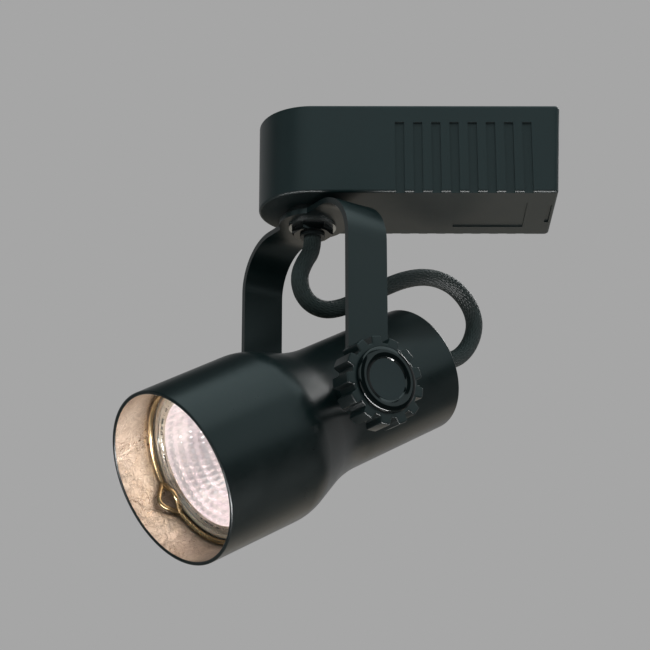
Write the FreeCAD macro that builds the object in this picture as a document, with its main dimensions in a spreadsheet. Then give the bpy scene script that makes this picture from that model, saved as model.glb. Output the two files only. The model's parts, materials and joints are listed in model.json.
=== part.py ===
import FreeCAD, Part
import math
import os
import Sketcher

# A low-voltage track spotlight.  A moulded transformer housing locks into a ceiling track by a
# twist connector; a steel yoke swivels on a hollow nipple under it; a stepped spun shade tilts in
# the yoke between two gear-shaped locking knobs and carries a 50 mm reflector lamp behind a wire
# retaining ring.  A braided cord loops from the nipple to the back of the shade.
#
# Row frame: origin where the swivel axis meets the housing's top face, +Z up, +X along the
# housing.  Lengths are millimetres, angles degrees.

V = FreeCAD.Vector
doc = FreeCAD.newDocument("TrackSpotlight")
sheet = doc.addObject("Spreadsheet::Sheet", "Sizes")
CLEAR = 0.05


class Size:
    """A length that carries its number and the spreadsheet formula that gives it."""

    def __init__(self, number, formula):
        self.number = number
        self.formula = formula

    @staticmethod
    def of(value):
        return value if isinstance(value, Size) else Size(value, f"({value:.6f})")

    def joined(self, other, sign, number):
        return Size(number, f"({self.formula} {sign} {other.formula})")

    def __add__(self, value):
        other = Size.of(value)
        return self.joined(other, "+", self.number + other.number)

    def __sub__(self, value):
        other = Size.of(value)
        return self.joined(other, "-", self.number - other.number)

    def __mul__(self, value):
        other = Size.of(value)
        return self.joined(other, "*", self.number * other.number)

    def __truediv__(self, value):
        other = Size.of(value)
        return self.joined(other, "/", self.number / other.number)

    def __radd__(self, value):
        return Size.of(value) + self

    def __rsub__(self, value):
        return Size.of(value) - self

    def __rmul__(self, value):
        return Size.of(value) * self

    def __neg__(self):
        return Size(-self.number, f"(-1 * {self.formula})")


sheet_rows = []


def size(alias, number):
    """Write one driving size into the sheet and return it as a Size."""
    sheet_rows.append(alias)
    row = len(sheet_rows)
    sheet.set(f"A{row}", alias)
    sheet.set(f"B{row}", str(number))
    sheet.setAlias(f"B{row}", alias)
    return Size(number, f"Sizes.{alias}")


# --- driving sizes: housing -------------------------------------------------------------------
housing_depth = size("HousingDepth", 35.5)
housing_reach = size("HousingReach", 81.3)
housing_height = size("HousingHeight", 31.2)
housing_wall = size("HousingWall", 2.0)
end_draft = size("EndDraft", 1.5)
end_block = size("EndBlock", 3.8)
corner_round = size("CornerRound", 1.6)
edge_round = size("EdgeRound", 0.9)
top_round = size("TopRound", 1.1)
groove_count = size("GrooveCount", 8)
groove_pitch = size("GroovePitch", 5.96)
groove_width = size("GrooveWidth", 3.0)
groove_depth = size("GrooveDepth", 0.9)
groove_start = size("GrooveStart", 27.0)
groove_top = size("GrooveTop", 6.2)
panel_start = size("PanelStart", 47.0)
panel_length = size("PanelLength", 23.5)
panel_width = size("PanelWidth", 19.8)
panel_shift = size("PanelShift", 1.2)
panel_depth = size("PanelDepth", 0.4)
cover_thickness = size("CoverThickness", 2.0)
cover_ledge = size("CoverLedge", 1.4)
post_radius = size("PostRadius", 3.0)
post_near = size("PostNear", 14.0)
post_inset = size("PostInset", 2.7)
screw_radius = size("ScrewRadius", 1.5)
screw_head = size("ScrewHead", 2.8)

# --- driving sizes: track connector and lock latch --------------------------------------------
neck_radius = size("NeckRadius", 5.0)
neck_height = size("NeckHeight", 2.4)
boss_radius = size("BossRadius", 10.5)
boss_height = size("BossHeight", 1.2)
lug_length = size("LugLength", 18.0)
lug_width = size("LugWidth", 8.0)
lug_height = size("LugHeight", 2.4)
flange_radius = size("FlangeRadius", 12.0)
flange_height = size("FlangeHeight", 3.0)
blade_width = size("BladeWidth", 3.0)
blade_thickness = size("BladeThickness", 0.8)
blade_inner = size("BladeInner", 2.2)
blade_reach = size("BladeReach", 10.2)
latch_width = size("LatchWidth", 14.0)
latch_thickness = size("LatchThickness", 1.2)
latch_wall = size("LatchWall", 1.2)
latch_travel = size("LatchTravel", 4.0)
nib_width = size("NibWidth", 6.0)
nib_height = size("NibHeight", 3.5)
thumb_width = size("ThumbWidth", 9.0)
thumb_height = size("ThumbHeight", 5.0)
thumb_drop = size("ThumbDrop", 12.0)
spring_radius = size("SpringRadius", 1.9)
spring_wire = size("SpringWire", 0.5)
spring_turns = size("SpringTurns", 6)

# --- driving sizes: converter board -----------------------------------------------------------
board_gap = size("BoardGap", 0.6)
board_width = size("BoardWidth", 27.0)
board_thickness = size("BoardThickness", 1.6)
standoff_height = size("StandoffHeight", 2.5)
standoff_radius = size("StandoffRadius", 2.2)
core_leg = size("CoreLeg", 8.0)
core_window = size("CoreWindow", 5.0)
core_depth = size("CoreDepth", 16.0)
core_height = size("CoreHeight", 16.0)
core_yoke = size("CoreYoke", 3.0)
choke_mean = size("ChokeMean", 3.7)
choke_wall = size("ChokeWall", 1.7)

# --- driving sizes: swivel --------------------------------------------------------------------
nipple_radius = size("NippleRadius", 4.86)
nipple_bore = size("NippleBore", 3.2)
washer_gap = size("WasherGap", 2.8)
washer_radius = size("WasherRadius", 8.5)
flange_washer_radius = size("FlangeWasherRadius", 7.8)
flange_washer_thickness = size("FlangeWasherThickness", 0.8)
nut_flats = size("NutFlats", 11.8)
nut_height = size("NutHeight", 2.4)
lock_nut_flats = size("LockNutFlats", 14.0)
lock_nut_height = size("LockNutHeight", 3.5)
thrust_thickness = size("ThrustThickness", 0.9)
wave_thickness = size("WaveThickness", 0.8)
bushing_lip = size("BushingLip", 0.9)

# --- driving sizes: yoke ----------------------------------------------------------------------
yoke_span = size("YokeSpan", 64.5)
yoke_metal = size("YokeMetal", 1.8)
yoke_width = size("YokeWidth", 14.8)
yoke_bend = size("YokeBend", 16.6)
yoke_boss = size("YokeBoss", 11.0)
pivot_drop = size("PivotDrop", 101.5)
swivel_angle = size("SwivelAngle", 57.0)
head_tilt = size("HeadTilt", 30.0)

# --- driving sizes: pivots and knobs ----------------------------------------------------------
stud_radius = size("StudRadius", 3.0)
stud_inner = size("StudInner", 23.2)
spacer_radius = size("SpacerRadius", 5.5)
spigot_radius = size("SpigotRadius", 4.0)
spigot_inner = size("SpigotInner", 18.8)
friction_radius = size("FrictionRadius", 7.0)
friction_thickness = size("FrictionThickness", 0.8)
lock_washer_radius = size("LockWasherRadius", 7.4)
lock_washer_thickness = size("LockWasherThickness", 0.9)
knob_root = size("KnobRoot", 12.0)
knob_tip = size("KnobTip", 14.2)
knob_thickness = size("KnobThickness", 8.2)
knob_lobes = size("KnobLobes", 13)
lobe_tip_width = size("LobeTipWidth", 3.0)
lobe_root_width = size("LobeRootWidth", 4.2)
knob_socket = size("KnobSocket", 9.6)
knob_socket_depth = size("KnobSocketDepth", 2.6)
cap_radius = size("CapRadius", 10.6)
cap_height = size("CapHeight", 1.6)
cap_disc = size("CapDisc", 6.6)

# --- driving sizes: shade ---------------------------------------------------------------------
shade_radius = size("ShadeRadius", 28.2)
shade_front = size("ShadeFront", 58.9)
neck_front = size("NeckFront", 20.5)
neck_rear = size("NeckRear", 1.0)
crown_blend = size("CrownBlend", 9.0)
hollow_blend = size("HollowBlend", 29.0)
rear_radius = size("RearRadius", 20.9)
rear_reach = size("RearReach", 46.5)
shade_wall = size("ShadeWall", 1.2)
rear_round = size("RearRound", 0.5)
rear_screw_offset = size("RearScrewOffset", 11.5)
grommet_radius = size("GrommetRadius", 5.0)
grommet_lip = size("GrommetLip", 6.4)
grommet_stand = size("GrommetStand", 2.5)

# --- driving sizes: lamp and holder -----------------------------------------------------------
lamp_radius = size("LampRadius", 25.2)
lamp_depth = size("LampDepth", 14.4)
lamp_rim = size("LampRim", 2.0)
lamp_glass = size("LampGlass", 1.8)
seat_bore = size("SeatBore", 23.4)
seat_thickness = size("SeatThickness", 1.2)
reflector_depth = size("ReflectorDepth", 20.0)
reflector_throat = size("ReflectorThroat", 8.5)
lamp_base_width = size("LampBaseWidth", 15.5)
lamp_base_depth = size("LampBaseDepth", 10.0)
lamp_base_height = size("LampBaseHeight", 12.0)
pin_radius = size("PinRadius", 0.75)
pin_spacing = size("PinSpacing", 5.33)
pin_length = size("PinLength", 7.0)
socket_width = size("SocketWidth", 20.0)
socket_depth = size("SocketDepth", 13.0)
socket_height = size("SocketHeight", 12.0)
bracket_width = size("BracketWidth", 30.0)
bracket_depth = size("BracketDepth", 15.6)
bracket_metal = size("BracketMetal", 1.0)
ring_wire = size("RingWire", 0.8)
ring_radius = size("RingRadius", 25.9)
eye_angle = size("EyeAngle", 192.0)
eye_half_angle = size("EyeHalfAngle", 13.0)
eye_rise = size("EyeRise", 4.6)
cord_radius = size("CordRadius", 2.9)
lead_radius = size("LeadRadius", 0.9)

doc.recompute()

# --- frames: the yoke's frame is turned about Z, the head's is also tilted about its pivot ----
ROW = FreeCAD.Placement()
TURN = FreeCAD.Rotation(V(0, 0, 1), -swivel_angle.number)
YOKE = FreeCAD.Placement(V(0, 0, 0), TURN)
PIVOT = V(0, 0, -pivot_drop.number)
HEAD = FreeCAD.Placement(PIVOT, TURN.multiply(FreeCAD.Rotation(V(1, 0, 0), 90 + head_tilt.number)))
# Pivot hardware is modelled with +Z pointing outwards from the shade's centre.
LEFT = FreeCAD.Placement(PIVOT, TURN.multiply(FreeCAD.Rotation(V(0, 1, 0), 90)))
RIGHT = FreeCAD.Placement(PIVOT, TURN.multiply(FreeCAD.Rotation(V(0, 1, 0), -90)))

nodes = []


def node(thing, name, frame=ROW):
    """Name a finished sub-part, put it in its frame and remember it for export."""
    thing.Label = name
    thing.Placement = frame
    nodes.append(thing)
    return thing


# --- small vocabulary -------------------------------------------------------------------------
def bind(thing, **properties):
    """Bind properties to formulas; a double underscore stands for a dot."""
    for path, value in properties.items():
        thing.setExpression(path.replace("__", "."), Size.of(value).formula)


def cylinder(name, radius, height, at=(0, 0, 0), axis=None):
    """A Part cylinder from its base centre, along Z or along the given axis."""
    thing = doc.addObject("Part::Cylinder", name)
    bind(thing, Radius=radius, Height=height)
    return placed(thing, at, axis)


def box(name, length, width, height, at):
    """A Part box from its low corner."""
    thing = doc.addObject("Part::Box", name)
    bind(thing, Length=length, Width=width, Height=height)
    return placed(thing, at, None)


def placed(thing, at, axis):
    if axis is not None:
        thing.Placement.Rotation = FreeCAD.Rotation(V(0, 0, 1), axis)
    bind(thing, Placement__Base__x=at[0], Placement__Base__y=at[1], Placement__Base__z=at[2])
    return thing


def cut(name, base, *tools):
    """base less each tool, as Part::Cut."""
    result = base
    for index, tool in enumerate(tools):
        step = doc.addObject("Part::Cut", f"{name}_cut{index}")
        step.Base = result
        step.Tool = tool
        result = step
    return result


def joined(name, *things):
    fuse = doc.addObject("Part::MultiFuse", f"{name}_all")
    fuse.Shapes = list(things)
    return fuse


def prism(name, flats, height, z):
    """A hexagonal bar of the given size across its flats."""
    thing = doc.addObject("Part::Prism", name)
    thing.Polygon = 6
    bind(thing, Circumradius=flats / math.sqrt(3), Height=height)
    return placed(thing, (0, 0, z), None)


def origin_plane(body, role):
    return next(item for item in body.Origin.OriginFeatures if item.Role == role)


def sketch_on(body, name, role, lift=0):
    """An empty sketch on one of the body's origin planes, lifted along its normal."""
    sketch = body.newObject("Sketcher::SketchObject", name)
    sketch.AttachmentSupport = [(origin_plane(body, role), "")]
    sketch.MapMode = "FlatFace"
    bind(sketch, AttachmentOffset__Base__z=lift)
    return sketch


def place_point(sketch, geometry, end, x, y):
    """Hold one point of the sketch at (x, y), each coordinate bound to its formula."""
    for kind, value, axis in (("DistanceX", Size.of(x), -2), ("DistanceY", Size.of(y), -1)):
        if abs(value.number) < 1e-9:
            sketch.addConstraint(Sketcher.Constraint("PointOnObject", geometry, end, axis))
            continue
        index = sketch.addConstraint(
            Sketcher.Constraint(kind, -1, 1, geometry, end, value.number))
        sketch.setExpression(f"Constraints[{index}]", value.formula)


def draw_outline(sketch, corners):
    """A closed outline of straight edges through the corners."""
    points = [V(Size.of(x).number, Size.of(y).number, 0) for x, y in corners]
    first = sketch.GeometryCount
    count = len(points)
    for index, point in enumerate(points):
        sketch.addGeometry(Part.LineSegment(point, points[(index + 1) % count]))
    for index, (x, y) in enumerate(corners):
        following = first + (index + 1) % count
        sketch.addConstraint(Sketcher.Constraint("Coincident", first + index, 2, following, 1))
        place_point(sketch, first + index, 1, x, y)
    return sketch


def draw_circle(sketch, radius, x=0, y=0):
    centre = V(Size.of(x).number, Size.of(y).number, 0)
    index = sketch.addGeometry(Part.Circle(centre, V(0, 0, 1), Size.of(radius).number))
    place_point(sketch, index, 3, x, y)
    rule = sketch.addConstraint(Sketcher.Constraint("Radius", index, Size.of(radius).number))
    sketch.setExpression(f"Constraints[{rule}]", Size.of(radius).formula)
    return sketch


def draw_housing_plan(sketch, radius, reach):
    """The housing's plan: a half circle about the swivel axis, carried straight to its end."""
    r = radius.number
    reach_number = reach.number
    round_end = Part.Circle(V(0, 0, 0), V(0, 0, 1), r)
    sketch.addGeometry(Part.ArcOfCircle(round_end, math.pi / 2, 3 * math.pi / 2))
    sketch.addGeometry(Part.LineSegment(V(0, -r, 0), V(reach_number, -r, 0)))
    sketch.addGeometry(Part.LineSegment(V(reach_number, -r, 0), V(reach_number, r, 0)))
    sketch.addGeometry(Part.LineSegment(V(reach_number, r, 0), V(0, r, 0)))
    place_point(sketch, 0, 3, 0, 0)
    for first, second in ((0, 1), (1, 2), (2, 3), (3, 0)):
        sketch.addConstraint(Sketcher.Constraint("Coincident", first, 2, second, 1))
    place_point(sketch, 1, 1, 0, -radius)
    place_point(sketch, 2, 1, reach, -radius)
    place_point(sketch, 3, 1, reach, radius)
    sketch.addConstraint(Sketcher.Constraint("PointOnObject", 0, 1, -2))
    return sketch


def pad(body, sketch, length, both_ways=False, downward=False):
    feature = body.newObject("PartDesign::Pad", f"{sketch.Name}_pad")
    feature.Profile = sketch
    feature.Midplane = both_ways
    feature.Reversed = downward
    bind(feature, Length=length)
    return feature


def pocket(body, sketch, length, both_ways=False, along_normal=False):
    feature = body.newObject("PartDesign::Pocket", f"{sketch.Name}_pocket")
    feature.Profile = sketch
    feature.Midplane = both_ways
    feature.Reversed = along_normal
    bind(feature, Length=length)
    return feature


def turned(name, frame, profile, export=True, plane="XZ_Plane"):
    """A body turned about its own Z axis from corners given as (radius, height)."""
    body = doc.addObject("PartDesign::Body", name)
    sketch = draw_outline(sketch_on(body, f"{name}_profile", plane), profile)
    feature = body.newObject("PartDesign::Revolution", f"{name}_turn")
    feature.Profile = sketch
    feature.ReferenceAxis = (sketch, ["V_Axis"])
    feature.Angle = 360
    if export:
        node(body, name, frame)
    return body


def ring(name, frame, outer, inner, low, high):
    """A plain washer or sleeve between two heights."""
    return turned(name, frame, [(inner, low), (outer, low), (outer, high), (inner, high)])


def edges_where(feature, test):
    doc.recompute()
    return [f"Edge{i + 1}" for i, edge in enumerate(feature.Shape.Edges) if test(edge)]


def fillet(body, name, radius, test):
    base = body.Tip
    names = edges_where(base, test)
    if not names:
        raise RuntimeError(f"{name} finds no edge")
    feature = body.newObject("PartDesign::Fillet", name)
    feature.Base = (base, names)
    bind(feature, Radius=radius)
    return feature


def level(edge, z):
    """True if the whole edge lies at height z."""
    return all(abs(bound - z) < 1e-4 for bound in (edge.BoundBox.ZMin, edge.BoundBox.ZMax))


# --- housing ----------------------------------------------------------------------------------
plan_radius = housing_depth / 2
floor_top = housing_wall - housing_height
cavity_reach = housing_reach - end_draft - end_block
latch_far = housing_reach - end_draft - latch_wall
latch_near = latch_far - latch_thickness
ledge_z = -cover_thickness
post_y = plan_radius - housing_wall - post_inset
post_far = cavity_reach - housing_wall - post_radius
posts = [(x, side * post_y) for x in (post_near, post_far) for side in (-1, 1)]
board_start = post_near + post_radius + board_gap
board_length = post_far - post_radius - board_gap - board_start
standoff_x = (board_start + standoff_radius + 1, board_start + board_length - standoff_radius - 1)
standoff_y = board_width / 2 - standoff_radius - 0.4
standoffs = [(x, side * standoff_y) for x in standoff_x for side in (-1, 1)]
board_z = floor_top + standoff_height
board_top = board_z + board_thickness
core_start = board_start + 6
core_length = core_leg + 2 * core_window + 2 * core_yoke
thumb_top = -thumb_drop
lug_top = thumb_top - 1
lug_thickness = 1.6
spring_x = cavity_reach - spring_radius - spring_wire
swivel_bore = nipple_radius + CLEAR


def sunk_rectangle(body, name, x, y, lift):
    """A rectangle sketch from (low, high) pairs, on a level plane."""
    corners = [(x[0], y[0]), (x[1], y[0]), (x[1], y[1]), (x[0], y[1])]
    return draw_outline(sketch_on(body, name, "XY_Plane", lift), corners)


def make_housing_shell():
    body = doc.addObject("PartDesign::Body", "housing_shell")
    plan = draw_housing_plan(sketch_on(body, "plan", "XY_Plane"), plan_radius, housing_reach)
    pad(body, plan, housing_height, downward=True)
    draft = draw_outline(sketch_on(body, "draft", "XZ_Plane"), [
        (housing_reach, 0), (housing_reach + 5, 0), (housing_reach + 5, -housing_height - 1),
        (housing_reach - end_draft, -housing_height - 1), (housing_reach - end_draft, -housing_height)])
    pocket(body, draft, housing_depth + 2, both_ways=True)
    doc.recompute()
    end_x = (housing_reach - end_draft).number - 1
    reach = housing_height.number
    fillet(body, "corner_rounds", corner_round, lambda edge: edge.BoundBox.XMin > end_x
           and edge.BoundBox.ZLength > reach - 1)
    fillet(body, "bottom_round", edge_round, lambda edge: level(edge, -reach))
    fillet(body, "top_round", top_round, lambda edge: level(edge, 0))
    cavity = draw_housing_plan(sketch_on(body, "cavity", "XY_Plane"),
                               plan_radius - housing_wall, cavity_reach)
    pocket(body, cavity, -floor_top)
    rebate = draw_housing_plan(sketch_on(body, "rebate", "XY_Plane"),
                               plan_radius - cover_ledge, housing_reach - cover_ledge)
    pocket(body, rebate, cover_thickness)
    cut_grooves(body)
    add_posts(body)
    cut_latch_way(body)
    bore = draw_circle(sketch_on(body, "swivel_bore", "XY_Plane"), swivel_bore)
    pocket(body, bore, housing_height + 1)
    panel = sunk_rectangle(body, "panel", (panel_start, panel_start + panel_length),
                           (panel_shift - panel_width / 2, panel_shift + panel_width / 2),
                           panel_depth - housing_height)
    pocket(body, panel, panel_depth + 1)
    node(body, "housing_shell")


def cut_grooves(body):
    """Grip grooves down both long sides, open at the bottom edge."""
    for side, name in ((1, "front"), (-1, "back")):
        face = sketch_on(body, f"{name}_groove", "XZ_Plane", (plan_radius - groove_depth) * side)
        draw_outline(face, [
            (groove_start, -housing_height - 1), (groove_start + groove_width, -housing_height - 1),
            (groove_start + groove_width, -groove_top), (groove_start, -groove_top)])
        first = pocket(body, face, groove_depth + 1, along_normal=(side == 1))
        pattern = body.newObject("PartDesign::LinearPattern", f"{name}_grooves")
        pattern.Originals = [first]
        pattern.Direction = (face, ["H_Axis"])
        bind(pattern, Length=(groove_count - 1) * groove_pitch, Occurrences=groove_count)
        body.Tip = pattern
        doc.recompute()


def add_posts(body):
    """Screw posts for the cover, standoffs for the board and the spring's locating pin."""
    tall = sketch_on(body, "posts", "XY_Plane", floor_top - 0.5)
    for x, y in posts:
        draw_circle(tall, post_radius, x, y)
    pad(body, tall, ledge_z - floor_top + 0.5)
    low = sketch_on(body, "standoffs", "XY_Plane", floor_top - 0.5)
    for x, y in standoffs:
        draw_circle(low, standoff_radius, x, y)
    pad(body, low, standoff_height + 0.5)
    pin = draw_circle(sketch_on(body, "spring_pin", "XY_Plane", floor_top - 0.5),
                      spring_radius - spring_wire - 0.3, spring_x, 0)
    pad(body, pin, 4.5)
    holes = sketch_on(body, "post_holes", "XY_Plane", ledge_z)
    for x, y in posts:
        draw_circle(holes, screw_radius, x, y)
    pocket(body, holes, 9)
    small = sketch_on(body, "standoff_holes", "XY_Plane", board_z)
    for x, y in standoffs:
        draw_circle(small, 1.1, x, y)
    pocket(body, small, standoff_height + 0.6)


def cut_latch_way(body):
    """The channel the lock latch slides in, with a window each way for its thumb pad and arm."""
    half = latch_width / 2 + 0.1
    channel = sunk_rectangle(body, "channel", (latch_near - 0.1, latch_far + 0.1), (-half, half), 0)
    pocket(body, channel, housing_height + 1)
    low = thumb_top - thumb_height - latch_travel - 0.2
    thumb = draw_outline(sketch_on(body, "thumb_window", "YZ_Plane", latch_far), [
        (-thumb_width / 2 - 0.2, low), (thumb_width / 2 + 0.2, low),
        (thumb_width / 2 + 0.2, thumb_top + 0.2), (-thumb_width / 2 - 0.2, thumb_top + 0.2)])
    pocket(body, thumb, 6, along_normal=True)
    arm_low = lug_top - lug_thickness - latch_travel - 0.3
    arm = draw_outline(sketch_on(body, "arm_window", "YZ_Plane", latch_near), [
        (-2.7, arm_low), (2.7, arm_low), (2.7, lug_top + 0.3), (-2.7, lug_top + 0.3)])
    pocket(body, arm, 4)


def make_top_cover():
    body = doc.addObject("PartDesign::Body", "top_cover")
    plan = draw_housing_plan(sketch_on(body, "cover_plan", "XY_Plane"),
                             plan_radius - cover_ledge - 0.1, housing_reach - cover_ledge - 0.1)
    pad(body, plan, cover_thickness, downward=True)
    hole = draw_circle(sketch_on(body, "boss_hole", "XY_Plane"), boss_radius + CLEAR)
    pocket(body, hole, cover_thickness + 1)
    nib = sunk_rectangle(body, "nib_hole", (latch_near - 0.2, latch_far + 0.2),
                         (-nib_width / 2 - 0.2, nib_width / 2 + 0.2), 0)
    pocket(body, nib, cover_thickness + 1)
    through = sketch_on(body, "cover_screw_holes", "XY_Plane")
    for x, y in posts:
        draw_circle(through, screw_radius + 0.1, x, y)
    pocket(body, through, cover_thickness + 1)
    sinks = sketch_on(body, "cover_screw_sinks", "XY_Plane")
    for x, y in posts:
        draw_circle(sinks, screw_head + 0.1, x, y)
    pocket(body, sinks, 1.2)
    node(body, "top_cover")


def make_cover_screws():
    """Four flat-headed screws, one solid each."""
    parts = []
    for index, (x, y) in enumerate(posts):
        head = cylinder(f"cover_head{index}", screw_head, 1.2, (x, y, -1.2))
        shank = cylinder(f"cover_shank{index}", screw_radius, 9, (x, y, -10.2))
        slot = box(f"cover_slot{index}", screw_head * 2, 0.8, 0.7, (x - screw_head, y - 0.4, -0.6))
        parts.append(cut(f"cover_screw{index}", joined(f"cover_blank{index}", head, shank), slot))
    node(joined("cover_screws", *parts), "cover_screws")


# --- track connector --------------------------------------------------------------------------
lug_z = neck_height
blade_z = lug_z + (lug_height - blade_thickness) / 2
leg_bottom = -(cover_thickness + flange_height + 3)


def blade(name, direction):
    """A brass contact: a leg down through the connector and a tab out of the lug's end."""
    leg_x = blade_inner if direction > 0 else -blade_inner - blade_thickness
    tab_x = blade_inner if direction > 0 else -blade_reach
    leg = box(f"{name}_leg", blade_thickness, blade_width, blade_z + blade_thickness - leg_bottom,
              (leg_x, -blade_width / 2, leg_bottom))
    tab = box(f"{name}_tab", blade_reach - blade_inner, blade_width, blade_thickness,
              (tab_x, -blade_width / 2, blade_z))
    return joined(name, leg, tab)


def earth_blade():
    """The earth contact leaves the neck sideways, flat on the boss."""
    top = boss_height + blade_thickness
    leg = box("earth_leg", blade_width, blade_thickness, top - leg_bottom,
              (-blade_width / 2, blade_inner, leg_bottom))
    tab = box("earth_tab", blade_width, 6.8, blade_thickness,
              (-blade_width / 2, blade_inner, top - blade_thickness))
    return joined("earth", leg, tab)


def make_connector():
    flange = cylinder("flange", flange_radius, flange_height,
                      (0, 0, -(cover_thickness + flange_height)))
    barrel = cylinder("barrel", boss_radius - 0.2, cover_thickness + 0.2, (0, 0, -(cover_thickness + 0.1)))
    boss = cylinder("boss", boss_radius, boss_height, (0, 0, 0))
    neck = cylinder("neck", neck_radius, neck_height - boss_height + 0.2, (0, 0, boss_height - 0.1))
    lug = box("lug", lug_length, lug_width, lug_height, (-lug_length / 2, -lug_width / 2, lug_z))
    round_lug = cylinder("lug_round", lug_length / 2, lug_height, (0, 0, lug_z))
    head = doc.addObject("Part::Common", "lug_head")
    head.Base = lug
    head.Tool = round_lug
    line = blade("line", 1)
    neutral = blade("neutral", -1)
    earth = earth_blade()
    stem = cut("connector", joined("connector_blank", flange, barrel, boss, neck, head), line, neutral, earth)
    node(stem, "connector_stem")
    node(line, "line_contact")
    node(neutral, "neutral_contact")
    node(earth, "earth_contact")


# --- lock latch -------------------------------------------------------------------------------
def make_lock_latch():
    """A plate in the end wall: nib above, thumb pad outside, arm over its spring inside."""
    half = latch_width / 2
    bottom = 0.5 - housing_height
    plate_top = ledge_z - 0.6
    plate = box("plate", latch_thickness, latch_width, plate_top - bottom,
                (latch_near, -half, bottom))
    nib = box("nib", latch_thickness, nib_width, nib_height - plate_top + 0.5,
              (latch_near, -nib_width / 2, plate_top - 0.5))
    pad_block = box("thumb", housing_reach - latch_far + 0.5, thumb_width, thumb_height,
                    (latch_far - 0.5, -thumb_width / 2, thumb_top - thumb_height))
    ridges = [box(f"ridge{i}", 0.6, thumb_width + 1, 0.5,
                  (housing_reach - 0.4, -(thumb_width + 1) / 2, thumb_top - 1.3 * (i + 1)))
              for i in range(3)]
    arm_start = spring_x - spring_radius - 0.4
    arm = box("arm", latch_near - arm_start + 0.3, 4.8, lug_thickness,
              (arm_start, -2.4, lug_top - lug_thickness))
    blank = joined("latch_blank", plate, nib, pad_block, arm)
    node(cut("latch", blank, *ridges), "lock_latch")


def make_latch_spring():
    """A round-wire compression spring between the floor and the latch's arm."""
    wire_radius = spring_wire.number / 2
    mean = spring_radius.number - wire_radius
    low = floor_top.number + wire_radius
    high = (lug_top - lug_thickness).number - wire_radius - CLEAR
    pitch = (high - low) / spring_turns.number
    helix = Part.makeHelix(pitch, high - low, mean)
    slope = V(0, 1, pitch / (2 * math.pi * mean))
    section = Part.Wire(Part.makeCircle(wire_radius, V(mean, 0, 0), slope))
    coil = Part.Wire(helix.Edges).makePipeShell([section], True, True)
    spring = doc.addObject("Part::Feature", "latch_spring")
    spring.Shape = Part.Solid(coil) if coil.ShapeType != "Solid" else coil
    node(spring, "latch_spring", FreeCAD.Placement(V(spring_x.number, 0, low), FreeCAD.Rotation()))


# --- converter --------------------------------------------------------------------------------
def make_board():
    plate = box("plate_board", board_length, board_width, board_thickness,
                (board_start, -board_width / 2, board_z))
    holes = [cylinder(f"board_hole{i}", 1.2, board_thickness + 1, (x, y, board_z - 0.5))
             for i, (x, y) in enumerate(standoffs)]
    node(cut("board", plate, *holes), "circuit_board")
    screws = []
    for index, (x, y) in enumerate(standoffs):
        shank = cylinder(f"board_shank{index}", 1.1, board_thickness + 2.4, (x, y, board_z - 2.4))
        head = cylinder(f"board_head{index}", 2.0, 1.3, (x, y, board_top))
        screws.append(joined(f"board_screw{index}", shank, head))
    node(joined("board_screws", *screws), "board_screws")


def make_transformer():
    """A ferrite core of three legs, its winding round the middle one."""
    core_low = board_top
    window_height = core_height - 2 * core_yoke
    blank = box("core_blank", core_length, core_depth, core_height,
                (core_start, -core_depth / 2, core_low))
    first = core_start + core_yoke
    second = first + core_window + core_leg
    windows = [box(f"window{i}", core_window, core_depth + 2, window_height,
                   (x, -core_depth / 2 - 1, core_low + core_yoke)) for i, x in enumerate((first, second))]
    node(cut("core", blank, *windows), "transformer_core")
    gap = 0.2
    coil_low = core_low + core_yoke + gap
    coil_height = window_height - 2 * gap
    outer_length = core_leg + 2 * core_window - 2 * gap
    outer = box("coil_outer", outer_length, core_depth + 2 * core_window - 2 * gap, coil_height,
                (first + gap, -core_depth / 2 - core_window + gap, coil_low))
    inner = box("coil_inner", core_leg + 2 * gap, core_depth + 2 * gap, coil_height + 2,
                (first + core_window - gap, -core_depth / 2 - gap, coil_low - 1))
    node(cut("coil", outer, inner), "transformer_winding")


def make_board_parts():
    """The other parts on the board, placed from the transformer's far side."""
    after = core_start + core_length
    choke = doc.addObject("Part::Torus", "choke")
    bind(choke, Radius1=choke_mean, Radius2=choke_wall, Placement__Base__x=after + 6.2,
         Placement__Base__y=-6.5, Placement__Base__z=board_top + choke_wall)
    node_at(choke, "choke_coil")
    capacitors = [box(f"film{i}", 4.6, 9, 9.5, (after + 1.2 + 6 * i, 2.2, board_top)) for i in range(2)]
    node(joined("film", *capacitors), "film_capacitors")
    sink_x = board_start + board_length - 2.4
    sink = box("sink_plate", 1.6, board_width - 4.4, 15, (sink_x, 2.2 - board_width / 2, board_top))
    cuts = [cylinder(f"sink_relief{i}", screw_head, 2.4, (x, y, board_top - 0.4))
            for i, (x, y) in enumerate(standoffs[2:])]
    node(cut("sink", sink, *cuts), "heat_sink")
    cases = [box(f"case{i}", 4.4, 9.4, 12, (sink_x - 4.4, y, board_top + 2.4))
             for i, y in enumerate((-10.2, 0.8))]
    node(joined("cases", *cases), "power_transistors")
    block = box("block", 4.6, 12, 8, (board_start + 0.6, -6, board_top))
    ways = [cylinder(f"way{i}", 1.4, 3, (board_start + 0.3, y, board_top + 4), V(1, 0, 0))
            for i, y in enumerate((-3, 3))]
    node(cut("terminals", block, *ways), "terminal_block")


def node_at(thing, name):
    """Name a sub-part whose own placement is already bound."""
    thing.Label = name
    nodes.append(thing)


# --- swivel -----------------------------------------------------------------------------------
strap_top = -(housing_height + washer_gap)
strap_bottom = strap_top - yoke_metal
nut_top = strap_bottom - flange_washer_thickness
nut_bottom = nut_top - nut_height
thrust_low = floor_top + CLEAR
thrust_high = thrust_low + thrust_thickness
wave_high = thrust_high + wave_thickness
lock_high = wave_high + lock_nut_height
lip_bottom = nut_bottom - bushing_lip


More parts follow.
